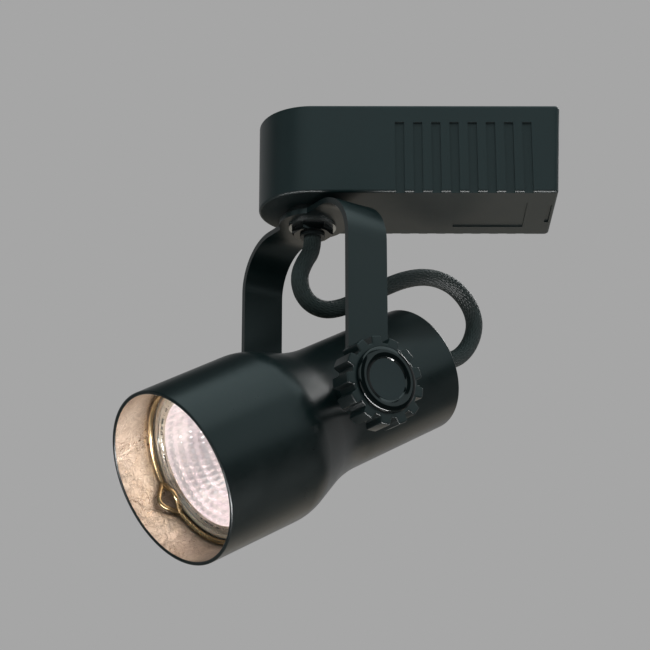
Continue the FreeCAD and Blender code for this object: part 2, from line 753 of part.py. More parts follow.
def hex_nut(name, flats, low, height):
    blank = prism(f"{name}_hex", flats, height, low)
    round_off = doc.addObject("Part::Cone", f"{name}_bevel")
    bind(round_off, Radius1=flats / 2 * 1.04, Radius2=flats / 2 * 1.04 + height * 1.7, Height=height)
    placed(round_off, (0, 0, low), None)
    bevelled = doc.addObject("Part::Common", f"{name}_blank")
    bevelled.Base = blank
    bevelled.Tool = round_off
    hole = cylinder(f"{name}_hole", nipple_radius, height + 2, (0, 0, low - 1))
    node(cut(name, bevelled, hole), name, YOKE)


def make_swivel():
    turned("swivel_nipple", YOKE, [
        (nipple_bore, nut_bottom), (nipple_radius, nut_bottom), (nipple_radius, lock_high + 1),
        (nipple_bore, lock_high + 1)])
    ring("swivel_washer", YOKE, washer_radius, nipple_radius, strap_top, -housing_height - CLEAR)
    ring("thrust_washer", YOKE, washer_radius, nipple_radius, thrust_low, thrust_high)
    turned("wave_washer", YOKE, [
        (nipple_radius, thrust_high), (washer_radius - 0.8, thrust_high),
        (washer_radius - 0.8, thrust_high + wave_thickness / 2), (nipple_radius, wave_high)])
    hex_nut("nipple_lock_nut", lock_nut_flats, wave_high, lock_nut_height)
    ring("flange_washer", YOKE, flange_washer_radius, nipple_radius, nut_top, strap_bottom)
    hex_nut("nipple_nut", nut_flats, nut_bottom, nut_height)
    bore = 2 * lead_radius + 0.3
    turned("cord_bushing", YOKE, [
        (bore, lip_bottom), (cord_radius + 1.2, lip_bottom), (cord_radius + 1.2, nut_bottom),
        (nipple_bore, nut_bottom), (nipple_bore, nut_bottom + 4), (bore, nut_bottom + 4)])
    leads = [cylinder(f"swivel_lead{i}", lead_radius, lock_high + 3 - lip_bottom,
                      (side * (lead_radius + 0.1), 0, lip_bottom)) for i, side in enumerate((-1, 1))]
    node(joined("swivel_leads", *leads), "swivel_leads", YOKE)


def make_yoke():
    """A bent steel strap with a round boss at the swivel and a hole near the end of each arm."""
    body = doc.addObject("PartDesign::Body", "yoke")
    outer = yoke_span / 2
    inner = outer - yoke_metal
    arm_end = -pivot_drop - yoke_width / 2
    strap = draw_outline(sketch_on(body, "strap", "XZ_Plane"), [
        (-outer, arm_end), (-inner, arm_end), (-inner, strap_bottom), (inner, strap_bottom),
        (inner, arm_end), (outer, arm_end), (outer, strap_top), (-outer, strap_top)])
    pad(body, strap, yoke_width, both_ways=True)
    doc.recompute()
    half = yoke_width.number / 2

    def across(edge, x, z):
        box_ = edge.BoundBox
        near = abs(abs(box_.XMin) - x) < 1e-4 and abs(box_.ZMin - z) < 1e-4
        return near and box_.YLength > 2 * half - 1e-3 and box_.XLength < 1e-4

    def arm_corner(edge):
        box_ = edge.BoundBox
        return box_.ZMax < arm_end.number + 1e-4 and box_.YLength < 1e-4

    fillet(body, "inner_bends", yoke_bend - yoke_metal,
           lambda edge: across(edge, inner.number, strap_bottom.number))
    fillet(body, "outer_bends", yoke_bend, lambda edge: across(edge, outer.number, strap_top.number))
    fillet(body, "arm_ends", yoke_width / 2 - 0.02, arm_corner)
    boss = draw_circle(sketch_on(body, "boss", "XY_Plane", strap_bottom), yoke_boss)
    pad(body, boss, yoke_metal)
    bore = draw_circle(sketch_on(body, "boss_bore", "XY_Plane", strap_top), nipple_radius)
    pocket(body, bore, yoke_metal + 1)
    eyes = draw_circle(sketch_on(body, "eyes", "YZ_Plane"), stud_radius + CLEAR, 0, -pivot_drop)
    pocket(body, eyes, yoke_span + 2, both_ways=True)
    node(body, "yoke", YOKE)


# --- pivots and knobs -------------------------------------------------------------------------
arm_outer = yoke_span / 2
arm_inner = arm_outer - yoke_metal
friction_outer = arm_inner - CLEAR
friction_inner = friction_outer - friction_thickness
knob_base = arm_outer + CLEAR + lock_washer_thickness
knob_face = knob_base + knob_thickness
stud_outer = knob_face - knob_socket_depth - 1.2


def make_knob(name, frame):
    """A gear-shaped grip with trapezoid lobes and a socket for its cap."""
    body = doc.addObject("PartDesign::Body", name)
    core = draw_circle(sketch_on(body, f"{name}_core", "XY_Plane", knob_base), knob_root)
    pad(body, core, knob_thickness)
    lobe = draw_outline(sketch_on(body, f"{name}_lobe", "XY_Plane", knob_base), [
        (knob_root - 1, -lobe_root_width / 2), (knob_root, -lobe_root_width / 2),
        (knob_tip, -lobe_tip_width / 2), (knob_tip, lobe_tip_width / 2),
        (knob_root, lobe_root_width / 2), (knob_root - 1, lobe_root_width / 2)])
    first = pad(body, lobe, knob_thickness)
    pattern = body.newObject("PartDesign::PolarPattern", f"{name}_lobes")
    pattern.Originals = [first]
    pattern.Axis = (lobe, ["N_Axis"])
    pattern.Angle = 360
    bind(pattern, Occurrences=knob_lobes)
    body.Tip = pattern
    doc.recompute()
    socket = draw_circle(sketch_on(body, f"{name}_socket", "XY_Plane", knob_face), knob_socket)
    pocket(body, socket, knob_socket_depth)
    bore = draw_circle(sketch_on(body, f"{name}_bore", "XY_Plane", knob_base), stud_radius)
    pocket(body, bore, stud_outer - knob_base, along_normal=True)
    node(body, name, frame)


def make_knob_cap(name, frame):
    """The glossy push-in cap: a rounded shoulder round a flat, slightly sunken disc."""
    low = knob_face - knob_socket_depth
    shoulder = (cap_radius + cap_disc) / 2
    turned(name, frame, [
        (0, low), (knob_socket, low), (knob_socket, knob_face), (cap_radius, knob_face),
        (cap_radius, knob_face + cap_height * 0.35), (shoulder + 1.1, knob_face + cap_height * 0.9),
        (shoulder, knob_face + cap_height), (shoulder - 1.1, knob_face + cap_height * 0.9),
        (cap_disc, knob_face + cap_height * 0.6), (0, knob_face + cap_height * 0.6)])


def make_pivot_hardware(side, frame):
    make_knob(f"knob_{side}", frame)
    make_knob_cap(f"knob_cap_{side}", frame)
    turned(f"pivot_stud_{side}", frame, [
        (0, stud_inner), (stud_radius - 0.6, stud_inner), (stud_radius, stud_inner + 0.6),
        (stud_radius, stud_outer), (0, stud_outer)])
    ring(f"lock_washer_{side}", frame, lock_washer_radius, stud_radius,
         arm_outer + CLEAR, knob_base)
    ring(f"friction_washer_{side}", frame, friction_radius, stud_radius + CLEAR,
         friction_inner, friction_outer)


# --- shade ------------------------------------------------------------------------------------
def shade_profile(shrink, front, back):
    """Half section of the stepped shade, drawn in by a wall thickness, as (radius, height)."""
    wide = shade_radius - shrink
    narrow = rear_radius - shrink
    return [(0, back), (narrow, back), (narrow, neck_rear), (wide, neck_front), (wide, front), (0, front)]


def shade_solid(name, shrink, front, back):
    """A solid of the stepped shape with its neck blended, used for the shell and its cavity.

    It is turned from the YZ plane, so that its seam stays clear of the pivot spacers.
    """
    body = turned(name, ROW, shade_profile(shrink, front, back), export=False, plane="YZ_Plane")
    wide = (shade_radius - shrink).number
    narrow = (rear_radius - shrink).number
    fillet(body, f"{name}_hollow", hollow_blend + shrink,
           lambda edge: is_circle(edge, narrow, neck_rear.number))
    fillet(body, f"{name}_crown", crown_blend - shrink,
           lambda edge: is_circle(edge, wide, neck_front.number))
    return body


def is_circle(edge, radius, z):
    curve = edge.Curve
    return isinstance(curve, Part.Circle) and abs(curve.Radius - radius) < 1e-4 and level(edge, z)


grommet_face = -rear_reach - grommet_stand


def spacer_blank(index, side):
    """A spacer's body and the spigot that rivets it through the shade's wall."""
    length = friction_inner - rear_radius + 2
    start = rear_radius - 2
    barrel = cylinder(f"barrel{index}", spacer_radius, length, (side * start, 0, 0), V(side, 0, 0))
    spigot = cylinder(f"spigot{index}", spigot_radius, rear_radius - spigot_inner + 2,
                      (side * spigot_inner, 0, 0), V(side, 0, 0))
    return barrel, spigot


def make_shade():
    envelope = shade_solid("shade_envelope", Size.of(0), shade_front, -rear_reach)
    fillet(envelope, "rear_edge", rear_round,
           lambda edge: is_circle(edge, rear_radius.number, -rear_reach.number))
    cavity = shade_solid("shade_cavity", shade_wall, shade_front + 1, shade_wall - rear_reach)
    outside = -rear_reach - 5
    tools = [cavity, cylinder("grommet_hole", grommet_radius, 10, (0, 0, outside))]
    tools += [cylinder(f"rear_screw_hole{i}", screw_radius + 0.1, 10,
                       (0, side * rear_screw_offset, outside)) for i, side in enumerate((-1, 1))]
    for index, (side, name) in enumerate(((1, "left"), (-1, "right"))):
        barrel, spigot = spacer_blank(index, side)
        tools.append(spigot)
        seated = cut(f"seated_{name}", barrel, envelope)
        bore = cylinder(f"stud_bore{index}", stud_radius + CLEAR, 20,
                        (side * (stud_inner - 0.5), 0, 0), V(side, 0, 0))
        node(cut(f"spacer_{name}", joined(f"spacer_blank_{name}", seated, spigot), bore),
             f"pivot_spacer_{name}", HEAD)
    node(cut("shade", envelope, *tools), "head_shell", HEAD)


def make_grommet():
    """A rubber grommet gripping the shade's rear wall, its outer face meeting the cord."""
    inner_face = shade_wall - rear_reach
    bore = 2 * lead_radius + 0.3
    turned("cord_grommet", HEAD, [
        (bore, grommet_face), (cord_radius + 0.9, grommet_face), (grommet_lip, -rear_reach - 1.1),
        (grommet_lip, -rear_reach), (grommet_radius, -rear_reach), (grommet_radius, inner_face),
        (grommet_lip, inner_face), (grommet_lip, inner_face + 1.2), (bore, inner_face + 1.2)])


# --- lamp holder ------------------------------------------------------------------------------
lamp_face = shade_front - lamp_depth
rim_back = lamp_face - lamp_rim
seat_front = rim_back - CLEAR
base_front = rim_back - reflector_depth
base_back = base_front - lamp_base_height
socket_front = base_back - CLEAR
socket_back = socket_front - socket_height
bracket_front = socket_back
bracket_back = shade_wall - rear_reach
socket_screw_y = socket_width / 2 - 2.6


def make_holder():
    ring("lamp_seat", HEAD, shade_radius - shade_wall, seat_bore,
         seat_front - seat_thickness, seat_front)
    frame_length = bracket_front - bracket_back
    outer = box("bracket_outer", bracket_depth, bracket_width, frame_length,
                (-bracket_depth / 2, -bracket_width / 2, bracket_back))
    inner = box("bracket_inner", bracket_depth + 2, bracket_width - 2 * bracket_metal,
                frame_length - 2 * bracket_metal,
                (-bracket_depth / 2 - 1, bracket_metal - bracket_width / 2, bracket_back + bracket_metal))
    rear_hole = cylinder("bracket_rear_hole", grommet_lip + 0.1, 4, (0, 0, bracket_back - 1))
    lead_hole = cylinder("bracket_lead_hole", 3.2, 4, (0, 0, bracket_front - 2))
    holes = []
    for index, side in enumerate((-1, 1)):
        holes.append(cylinder(f"bracket_hole{index}", screw_radius, 4,
                              (0, side * rear_screw_offset, bracket_back - 1)))
        holes.append(cylinder(f"bracket_socket_hole{index}", screw_radius, 4,
                              (0, side * socket_screw_y, bracket_front - 2)))
    node(cut("bracket", outer, inner, rear_hole, lead_hole, *holes), "socket_bracket", HEAD)
    rear, front = [], []
    for index, side in enumerate((-1, 1)):
        y = side * rear_screw_offset
        shank = cylinder(f"rear_shank{index}", screw_radius, 6, (0, y, -rear_reach))
        head = cylinder(f"rear_head{index}", screw_head, 1.6, (0, y, -rear_reach - 1.6))
        slot = box(f"rear_slot{index}", 2 * screw_head, 0.8, 0.9,
                   (-screw_head, y - 0.4, -rear_reach - 1.7))
        rear.append(cut(f"rear_screw{index}", joined(f"rear_blank{index}", shank, head), slot))
        y = side * socket_screw_y
        under = bracket_front - bracket_metal
        shank = cylinder(f"socket_shank{index}", screw_radius, 6, (0, y, under))
        head = cylinder(f"socket_head{index}", screw_head - 0.3, 1.6, (0, y, under - 1.6))
        front.append(joined(f"socket_screw{index}", shank, head))
    node(joined("bracket_screws", *rear), "bracket_screws", HEAD)
    node(joined("socket_screws", *front), "socket_screws", HEAD)


def make_socket():
    block = box("socket_block", socket_depth, socket_width, socket_height,
                (-socket_depth / 2, -socket_width / 2, socket_back))
    tools = []
    for index, side in enumerate((-1, 1)):
        tools.append(cylinder(f"pin_hole{index}", pin_radius + CLEAR, pin_length + 0.5,
                              (0, side * pin_spacing / 2, socket_front - pin_length - 0.4)))
        tools.append(cylinder(f"socket_hole{index}", screw_radius, 6,
                              (0, side * socket_screw_y, socket_back - 1)))
    node(cut("socket", block, *tools), "lamp_socket", HEAD)
    leads = [cylinder(f"socket_lead{i}", lead_radius, socket_back - grommet_face,
                      (0, side * (lead_radius + 0.1), grommet_face)) for i, side in enumerate((-1, 1))]
    node(joined("socket_leads", *leads), "socket_leads", HEAD)


# --- lamp -------------------------------------------------------------------------------------
def make_lamp():
    glass_back = lamp_face - lamp_glass
    glass_radius = lamp_radius - 1.3
    wall = 1.6
    depth = reflector_depth
    outer = [(reflector_throat, base_front), (reflector_throat + 6.5, base_front + depth * 0.2),
             (seat_bore - 4.2, base_front + depth * 0.5), (seat_bore - 0.9, base_front + depth * 0.86),
             (seat_bore - 0.4, rim_back), (lamp_radius, rim_back), (lamp_radius, lamp_face),
             (glass_radius, lamp_face), (glass_radius, glass_back)]
    inner = [(seat_bore - 1.2 - wall, glass_back), (seat_bore - 4.4 - wall, base_front + depth * 0.54),
             (reflector_throat + 5.4 - wall, base_front + depth * 0.26),
             (reflector_throat - 3.2, base_front + depth * 0.12), (reflector_throat - 3.2, base_front)]
    turned("lamp_reflector", HEAD, outer + inner)
    turned("lamp_front_glass", HEAD, [
        (0, glass_back), (glass_radius, glass_back), (glass_radius, lamp_face - 0.2), (0, lamp_face - 0.2)])
    turned("lamp_capsule", HEAD, [
        (0, base_front), (3.2, base_front), (4.2, base_front + 3), (4.2, base_front + 9),
        (2.6, base_front + 11), (0, base_front + 11.8)])
    base = box("base_block", lamp_base_depth, lamp_base_width, lamp_base_height,
               (-lamp_base_depth / 2, -lamp_base_width / 2, base_back))
    pins = [cylinder(f"pin{i}", pin_radius, pin_length,
                     (0, side * pin_spacing / 2, base_back - pin_length))
            for i, side in enumerate((-1, 1))]
    node(base_in_head(base), "lamp_base", HEAD)
    node(joined("pins", *pins), "lamp_pins", HEAD)


def base_in_head(block):
    """The ceramic base with its four long edges bevelled."""
    reach = 30
    turned_square = box("base_bevel", 2 * reach, 2 * reach, lamp_base_height, (-reach, -reach, base_back))
    diamond = doc.addObject("Part::Prism", "base_diamond")
    diamond.Polygon = 4
    bind(diamond, Circumradius=(lamp_base_depth + lamp_base_width) / 2 - 1.2, Height=lamp_base_height)
    placed(diamond, (0, 0, base_back), None)
    outside = cut("base_outside", turned_square, diamond)
    return cut("base", block, outside)


def make_retaining_ring():
    """A sprung wire ring in front of the lamp.

    Its two ends part into an eye that a finger or pliers can squeeze: one bows forward out of
    the ring's plane and the other inward, and they meet again on the far side.
    """
    wire_radius = ring_wire.number
    mean = ring_radius.number
    middle = math.radians(eye_angle.number)
    half = math.radians(eye_half_angle.number)
    height = (lamp_face + ring_wire + 0.1).number

    def at(share, inward, forward):
        angle = middle + share * half
        reach = mean - inward
        return V(reach * math.cos(angle), reach * math.sin(angle), height + forward)

    hoop = Part.Arc(at(1, 0, 0), V(-mean * math.cos(middle), -mean * math.sin(middle), height),
                    at(-1, 0, 0))
    rise = eye_rise.number
    forward = [at(-1, 0, 0), at(-0.35, 0.9, rise), at(0.35, 0.9, rise), at(1, 0, 0)]
    inward = [at(-1, 0, 0), at(-0.35, rise, 1), at(0.35, rise, 1), at(1, 0, 0)]
    bars = [swept_wire(hoop.toShape(), wire_radius)]
    knuckles = []
    for bow in (forward, inward):
        bars += [swept_wire(Part.LineSegment(a, b).toShape(), wire_radius) for a, b in zip(bow, bow[1:])]
        knuckles += [Part.makeSphere(wire_radius, point) for point in bow[1:]]
    wire = doc.addObject("Part::Feature", "retaining_ring")
    wire.Shape = bars[0].multiFuse(bars[1:] + knuckles + [Part.makeSphere(wire_radius, forward[0])])
    node(wire, "retaining_ring", HEAD)


def swept_wire(edge, radius):
    """A round bar along one edge."""
    start = edge.Curve.value(edge.FirstParameter)
    tangent = edge.tangentAt(edge.FirstParameter)
    section = Part.Wire(Part.makeCircle(radius, start, tangent))
    return Part.Wire(edge).makePipeShell([section], True, False)


# --- cord -------------------------------------------------------------------------------------
# The route hangs in the yoke's middle plane: (rearward, height) of each point between the bushing
# under the nipple and the grommet at the back of the shade.
CORD_ROUTE = [
    (0.0, -44.4), (-3.2, -49.4), (-5.2, -54.6), (-4.3, -60.0), (-0.8, -63.6), (4.6, -64.6),
    (10.8, -62.6), (17.2, -58.9), (24.2, -54.2), (30.6, -50.2), (36.4, -47.0), (43.6, -44.2),
    (50.8, -43.3), (58.0, -44.9), (63.6, -49.4), (66.2, -55.0), (65.7, -60.4), (63.0, -66.1),
    (58.5, -70.8), (52.7, -73.0), (47.5, -74.8)]


def cord_points():
    """The route with its two ends tied to the bushing and the grommet."""
    tilt = math.radians(head_tilt.number)
    reach = -grommet_face.number
    start = V(0, 0, lip_bottom.number)
    end = V(0, reach * math.cos(tilt), reach * math.sin(tilt) - pivot_drop.number)
    route = [V(0, y, z) for y, z in CORD_ROUTE]
    route[0].y = 0
    route[-1] = end + V(0, math.cos(tilt), math.sin(tilt)) * 5.2
    return [start] + route + [end]


def rounded_path(points):
    """Straight runs joined by tangent arcs as large as each pair of runs allows."""
    edges = []
    radii = []
    here = points[0]
    for before, corner, after in zip(points, points[1:], points[2:]):
        back = before - corner
        ahead = after - corner
        turn = math.pi - back.getAngle(ahead)
        reach = 0.45 * min(back.Length, ahead.Length)
        radii.append(reach / math.tan(turn / 2))
        enter = corner + back * (reach / back.Length)
        leave = corner + ahead * (reach / ahead.Length)
        bisector = (back / back.Length + ahead / ahead.Length).normalize()
        sagitta = radii[-1] / math.cos(turn / 2) - radii[-1]
        edges.append(Part.LineSegment(here, enter).toShape())
        edges.append(Part.Arc(enter, corner + bisector * sagitta, leave).toShape())
        here = leave
    edges.append(Part.LineSegment(here, points[-1]).toShape())
    return Part.Wire(edges), radii


def make_cord():
    points = cord_points()
    path, radii = rounded_path(points)
    section = Part.Wire(Part.makeCircle(cord_radius.number, points[0], points[1] - points[0]))
    cord = doc.addObject("Part::Feature", "cord")
    cord.Shape = path.makePipeShell([section], True, False)
    expected = path.Length * math.pi * cord_radius.number ** 2
    ratio = round(cord.Shape.Volume / expected, 4)
    print("cord length", round(path.Length, 1), "mm; volume ratio", ratio)
    print("cord radii", [round(radius, 1) for radius in radii])
    node(cord, "cord", YOKE)


# --- build ------------------------------------------------------------------------------------
make_housing_shell()
make_top_cover()
make_cover_screws()
make_connector()
make_lock_latch()
make_latch_spring()
make_board()
make_transformer()
make_board_parts()
make_swivel()
make_yoke()
for side_name, side_frame in (("left", LEFT), ("right", RIGHT)):
    make_pivot_hardware(side_name, side_frame)
make_shade()
make_grommet()
make_holder()
make_socket()
make_lamp()
make_retaining_ring()
make_cord()
doc.recompute()

failed = [item.Label for item in doc.Objects if {"Invalid", "Error"} & set(item.State)]
failed += [item.Label for item in nodes if item.Shape.isNull() or not item.Shape.isValid()]
if failed:
    raise RuntimeError(f"these did not build: {failed}")
os.makedirs("parts", exist_ok=True)
for item in nodes:
    item.Shape.exportStep(f"parts/{item.Label}.step")
print(len(nodes), "sub-parts,", sum(len(item.Shape.Solids) for item in nodes), "solids")
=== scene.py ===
"""The looks of a low-voltage track spotlight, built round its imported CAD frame.

The fixture is a moulded converter housing that locks into a ceiling track, a steel yoke that
swivels under it, a stepped shade that tilts between two gear-shaped knobs, a 50 mm reflector
lamp held by a sprung wire ring, and a braided cord that loops from the swivel to the shade.

Lengths in this script are millimetres in the frame of the CAD model, and angles are degrees,
unless a name says otherwise.  Meshes are turned to metres when they are made.
"""

import json
import logging
import math
from dataclasses import dataclass
from enum import Enum

import bmesh
import bpy
import numpy as np
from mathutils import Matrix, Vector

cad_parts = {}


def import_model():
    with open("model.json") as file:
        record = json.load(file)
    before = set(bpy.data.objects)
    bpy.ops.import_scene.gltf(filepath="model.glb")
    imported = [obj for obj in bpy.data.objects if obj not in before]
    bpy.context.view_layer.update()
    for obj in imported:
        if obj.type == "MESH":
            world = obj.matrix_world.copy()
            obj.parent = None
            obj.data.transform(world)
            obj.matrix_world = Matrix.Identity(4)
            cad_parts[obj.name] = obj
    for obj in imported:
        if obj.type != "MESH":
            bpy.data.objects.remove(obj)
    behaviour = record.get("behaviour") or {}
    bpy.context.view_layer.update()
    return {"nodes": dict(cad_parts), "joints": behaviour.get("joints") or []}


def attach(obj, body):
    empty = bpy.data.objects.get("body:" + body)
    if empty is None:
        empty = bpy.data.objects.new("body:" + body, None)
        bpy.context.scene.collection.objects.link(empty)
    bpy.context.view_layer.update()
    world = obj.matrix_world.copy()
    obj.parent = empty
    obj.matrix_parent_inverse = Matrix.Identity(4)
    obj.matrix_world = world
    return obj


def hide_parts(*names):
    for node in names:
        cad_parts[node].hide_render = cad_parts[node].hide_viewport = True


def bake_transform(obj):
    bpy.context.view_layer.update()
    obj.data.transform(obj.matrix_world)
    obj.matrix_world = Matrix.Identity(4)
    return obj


LOG = logging.getLogger("track_spotlight")
METRES = 0.001
FULL_TURN = 2.0 * math.pi
Z_AXIS = np.eye(3)[2]


# --- frames and points --------------------------------------------------------------------------
@dataclass(frozen=True)
class Axes:
    """A right-handed local frame: an origin and three unit directions, in millimetres."""

    origin: np.ndarray
    x: np.ndarray
    y: np.ndarray
    z: np.ndarray

    def place(self, local: np.ndarray) -> np.ndarray:
        """Turn local points into points of the CAD frame.

        Args:
            local: points whose last axis holds x, y and z in this frame.

        Returns:
            The same points, origin + x times the first direction + y times the second and so on.
        """
        return self.origin + local @ np.stack([self.x, self.y, self.z])


@dataclass(frozen=True)
class FixtureFrames:
    """The local frames of the fixture, all read from the joints of the CAD model."""

    yoke: Axes
    head: Axes
    knob_left: Axes
    knob_right: Axes


def unit(vector: np.ndarray) -> np.ndarray:
    """Return vectors scaled to length one along their last axis."""
    return vector / np.linalg.norm(vector, axis=-1, keepdims=True)


def read_frames(joints: list) -> FixtureFrames:
    """Work out the local frames from the tilt hinge and the ring's way out of the shade.

    Args:
        joints: the joints of the CAD model.

    Returns:
        The frames of the yoke, the head and the two knobs.
    """
    by_name = {joint["name"]: joint for joint in joints}
    pivot = np.array(by_name["tilt"]["pos_m"]) / METRES
    across = unit(np.array(by_name["tilt"]["axis"], float))
    beam = unit(np.array(by_name["ring_release"]["axis"], float))
    rearward = np.cross(Z_AXIS, across)
    head = Axes(pivot, across, np.cross(beam, across), beam)
    yoke = Axes(np.zeros(3), across, rearward, Z_AXIS)
    left = Axes(pivot, -Z_AXIS, rearward, across)
    right = Axes(pivot, Z_AXIS, rearward, -across)
    return FixtureFrames(yoke, head, left, right)


# --- meshes from grids --------------------------------------------------------------------------
def rounded_outline(corners: list, steps: int = 6, closed: bool = False) -> np.ndarray:
    """Draw an outline of straight runs whose corners are arcs.

    Each arc touches both of its runs: it starts and ends at radius / tan(half the corner's angle)
    from the corner, and its points are a slerp between the two radii that end there.

    Args:
        corners: (x, y, radius) of each corner; a radius of 0 leaves the corner sharp.
        steps: straight steps along each arc.
        closed: whether the last corner joins the first.

    Returns:
        The outline's points, one row each.
    """
    table = np.array(corners, float)
    point, radius = table[:, :2], table[:, 2:].copy()
    before, after = np.roll(point, 1, 0) - point, np.roll(point, -1, 0) - point
    if not closed:
        radius[0] = radius[-1] = 0.0
    back, ahead = unit(before), unit(after)
    half = np.arccos(np.clip((back * ahead).sum(1, keepdims=True), -1, 1)) / 2
    middle = unit(back + ahead + 1e-12)
    centre = point + middle * radius / np.sin(half)
    reach = radius / np.tan(half)
    first, last = point + back * reach - centre, point + ahead * reach - centre
    sweep = (math.pi - 2 * half)[:, None, :]
    share = np.linspace(0, 1, steps + 1)[None, :, None]
    arc = np.sin((1 - share) * sweep) * first[:, None] + np.sin(share * sweep) * last[:, None]
    drawn = (centre[:, None] + arc / np.sin(sweep)).reshape(-1, 2)
    moved = np.linalg.norm(np.diff(drawn, axis=0, prepend=drawn[:1] - 1), axis=1) > 1e-5
    return drawn[moved]


def grid_mesh(name: str, grids: list, closed: bool = True, skins: list | None = None,
              sharp: float = 32.0) -> bpy.types.Object:
    """Make one mesh object from grids of points, each grid a closed skin.

    Every four neighbouring points of a grid make a face.  The columns of a grid run round to the
    first column, and its rows do too if closed is set; otherwise the first and last rows are
    poles.  UV is the share along the second axis and the share along the first.

    Args:
        name: the piece's name.
        grids: arrays of (rows, columns, 3) points in millimetres.
        closed: whether rows run round to the first row.
        skins: for each row of faces, the index of its material.
        sharp: edges that turn by more than this many degrees stay sharp.

    Returns:
        The mesh object, linked to the scene and with no material yet.
    """
    points, faces, shares, finishes, start = [], [], [], [], 0
    for grid in grids:
        rows, columns = grid.shape[:2]
        row, column = np.meshgrid(np.arange(rows - 1 + closed), np.arange(columns), indexing="ij")
        down = np.stack([row, row, row + 1, row + 1], -1)
        over = np.stack([column, column + 1, column + 1, column], -1)
        faces.append((start + (down % rows) * columns + over % columns).reshape(-1, 4))
        shares.append(np.stack([over / columns, down / (rows - 1 + closed)], -1).reshape(-1, 2))
        finishes.append(np.repeat(np.array(skins) if skins else np.zeros(len(row), int),
                                  row.shape[1]))
        points.append(grid.reshape(-1, 3))
        start += rows * columns
    mesh = bpy.data.meshes.new(name)
    corner, face = np.concatenate(points) * METRES, np.concatenate(faces)
    mesh.vertices.add(len(corner))
    mesh.vertices.foreach_set("co", corner.astype(np.float32).ravel())
    mesh.loops.add(face.size)
    mesh.loops.foreach_set("vertex_index", face.astype(np.int32).ravel())
    mesh.polygons.add(len(face))
    mesh.polygons.foreach_set("loop_start", np.arange(0, face.size, 4, dtype=np.int32))
    mesh.polygons.foreach_set("material_index", np.concatenate(finishes).astype(np.int32))
    mesh.update(calc_edges=True)
    mesh.uv_layers.new(name="UVMap").data.foreach_set(
        "uv", np.concatenate(shares).astype(np.float32).ravel())
    seal(mesh)
    mesh.shade_smooth()
    mesh.set_sharp_from_angle(angle=math.radians(sharp))
    piece = bpy.data.objects.new(name, mesh)
    bpy.context.scene.collection.objects.link(piece)
    return piece


def seal(mesh: bpy.types.Mesh) -> None:
    """Merge poles and seams of a mesh and turn its faces outwards.

    Args:
        mesh: the mesh, changed in place.
    """
    work = bmesh.new()
    work.from_mesh(mesh)
    bmesh.ops.remove_doubles(work, verts=work.verts, dist=1e-7)
    bmesh.ops.dissolve_degenerate(work, edges=work.edges, dist=1e-8)
    bmesh.ops.recalc_face_normals(work, faces=work.faces)
    work.to_mesh(mesh)
    work.free()


def lathe(profile: np.ndarray, axes: Axes, segments: int = 128) -> np.ndarray:
    """Turn a profile about an axis.

    Point (row, column) is at radius times (cos a, sin a) across the axis and at the profile's
    height along it, where a is the column's share of a full turn.

    Args:
        profile: (radius, height) of each point.
        axes: the frame whose z is the axis.
        segments: columns of the grid.

    Returns:
        A grid of points.
    """
    angle = np.arange(segments) * FULL_TURN / segments
    ring = np.stack([np.cos(angle), np.sin(angle), np.zeros(segments)], -1)
    return axes.place(profile[:, None, :1] * ring + profile[:, None, 1:] * Z_AXIS)


def tube(path: np.ndarray, radius: np.ndarray, sides: int, ring: bool = False) -> np.ndarray:
    """Carry a circle along a path.

    The circle lies across the path's tangent.  Its first direction is a fixed normal made
    square to the tangent, so it doesn't twist on the nearly flat paths of this fixture.

    Args:
        path: the points followed.
        radius: the radius at each (row, side), or one number.
        sides: points round the circle.
        ring: whether the path is a closed ring.

    Returns:
        A grid of points, with its ends drawn to a point unless the path is a ring.
    """
    ahead, behind = np.roll(path, -1, 0), np.roll(path, 1, 0)
    if not ring:
        ahead[-1], behind[0] = path[-1], path[0]
    tangent = unit(ahead - behind)
    flat = unit(np.linalg.svd(path - path.mean(0))[2][-1])
    side = unit(np.cross(tangent, flat))
    lift = np.cross(side, tangent)
    angle = np.arange(sides) * FULL_TURN / sides
    spoke = (side[:, None] * np.cos(angle)[None, :, None]
             + lift[:, None] * np.sin(angle)[None, :, None])
    grid = path[:, None] + spoke * np.broadcast_to(radius, (len(path), sides))[..., None]
    if ring:
        return grid
    ends = [np.broadcast_to(path[end], (1, sides, 3)) for end in (0, -1)]
    return np.concatenate([ends[0], grid, ends[1]])


# --- finishes -----------------------------------------------------------------------------------
class Surface(Enum):
    """How a finish was made, which decides the pattern that its nodes draw."""

    MOULDED = "spark-eroded tool grain"
    SPRAYED = "orange peel of a stoved paint"
    DRAWN = "lengthwise drawing or turning marks"
    CLOUDED = "coarse crystal or foil grain"
    BRAIDED = "plaited yarns that follow the piece"
    PLAIN = "as pressed, with faint mottling"


# How much of a finish's change of colour and gloss comes from its pattern and from its patches.
PATTERN_SHARE = 0.45
PATCH_SHARE = 0.6
# How far drawing marks are stretched, as their scale along the third axis over the others.
DRAWN_STRETCH = 0.08
# Yarns round the sleeve, and the yarns that cross a line drawn along the whole of it.
PLAIT_COUNT = 20
PLAIT_TURNS = 38.0
# The power that thins the painted glints of single filaments on a yarn.
GLINT_POWER = 2.2


def linear(colour: str) -> tuple:
    """Turn an sRGB hex colour into the linear RGBA that a shader takes.

    A share up to 0.04045 is divided by 12.92, and a larger one is ((share + 0.055) / 1.055) to
    the power of 2.4.

    Args:
        colour: a hash sign and six hex digits.

    Returns:
        Red, green and blue, and an alpha of one.
    """
    share = np.array([int(colour[i:i + 2], 16) for i in (1, 3, 5)]) / 255.0
    low, high = share / 12.92, ((share + 0.055) / 1.055) ** 2.4
    return (*np.where(share <= 0.04045, low, high), 1.0)


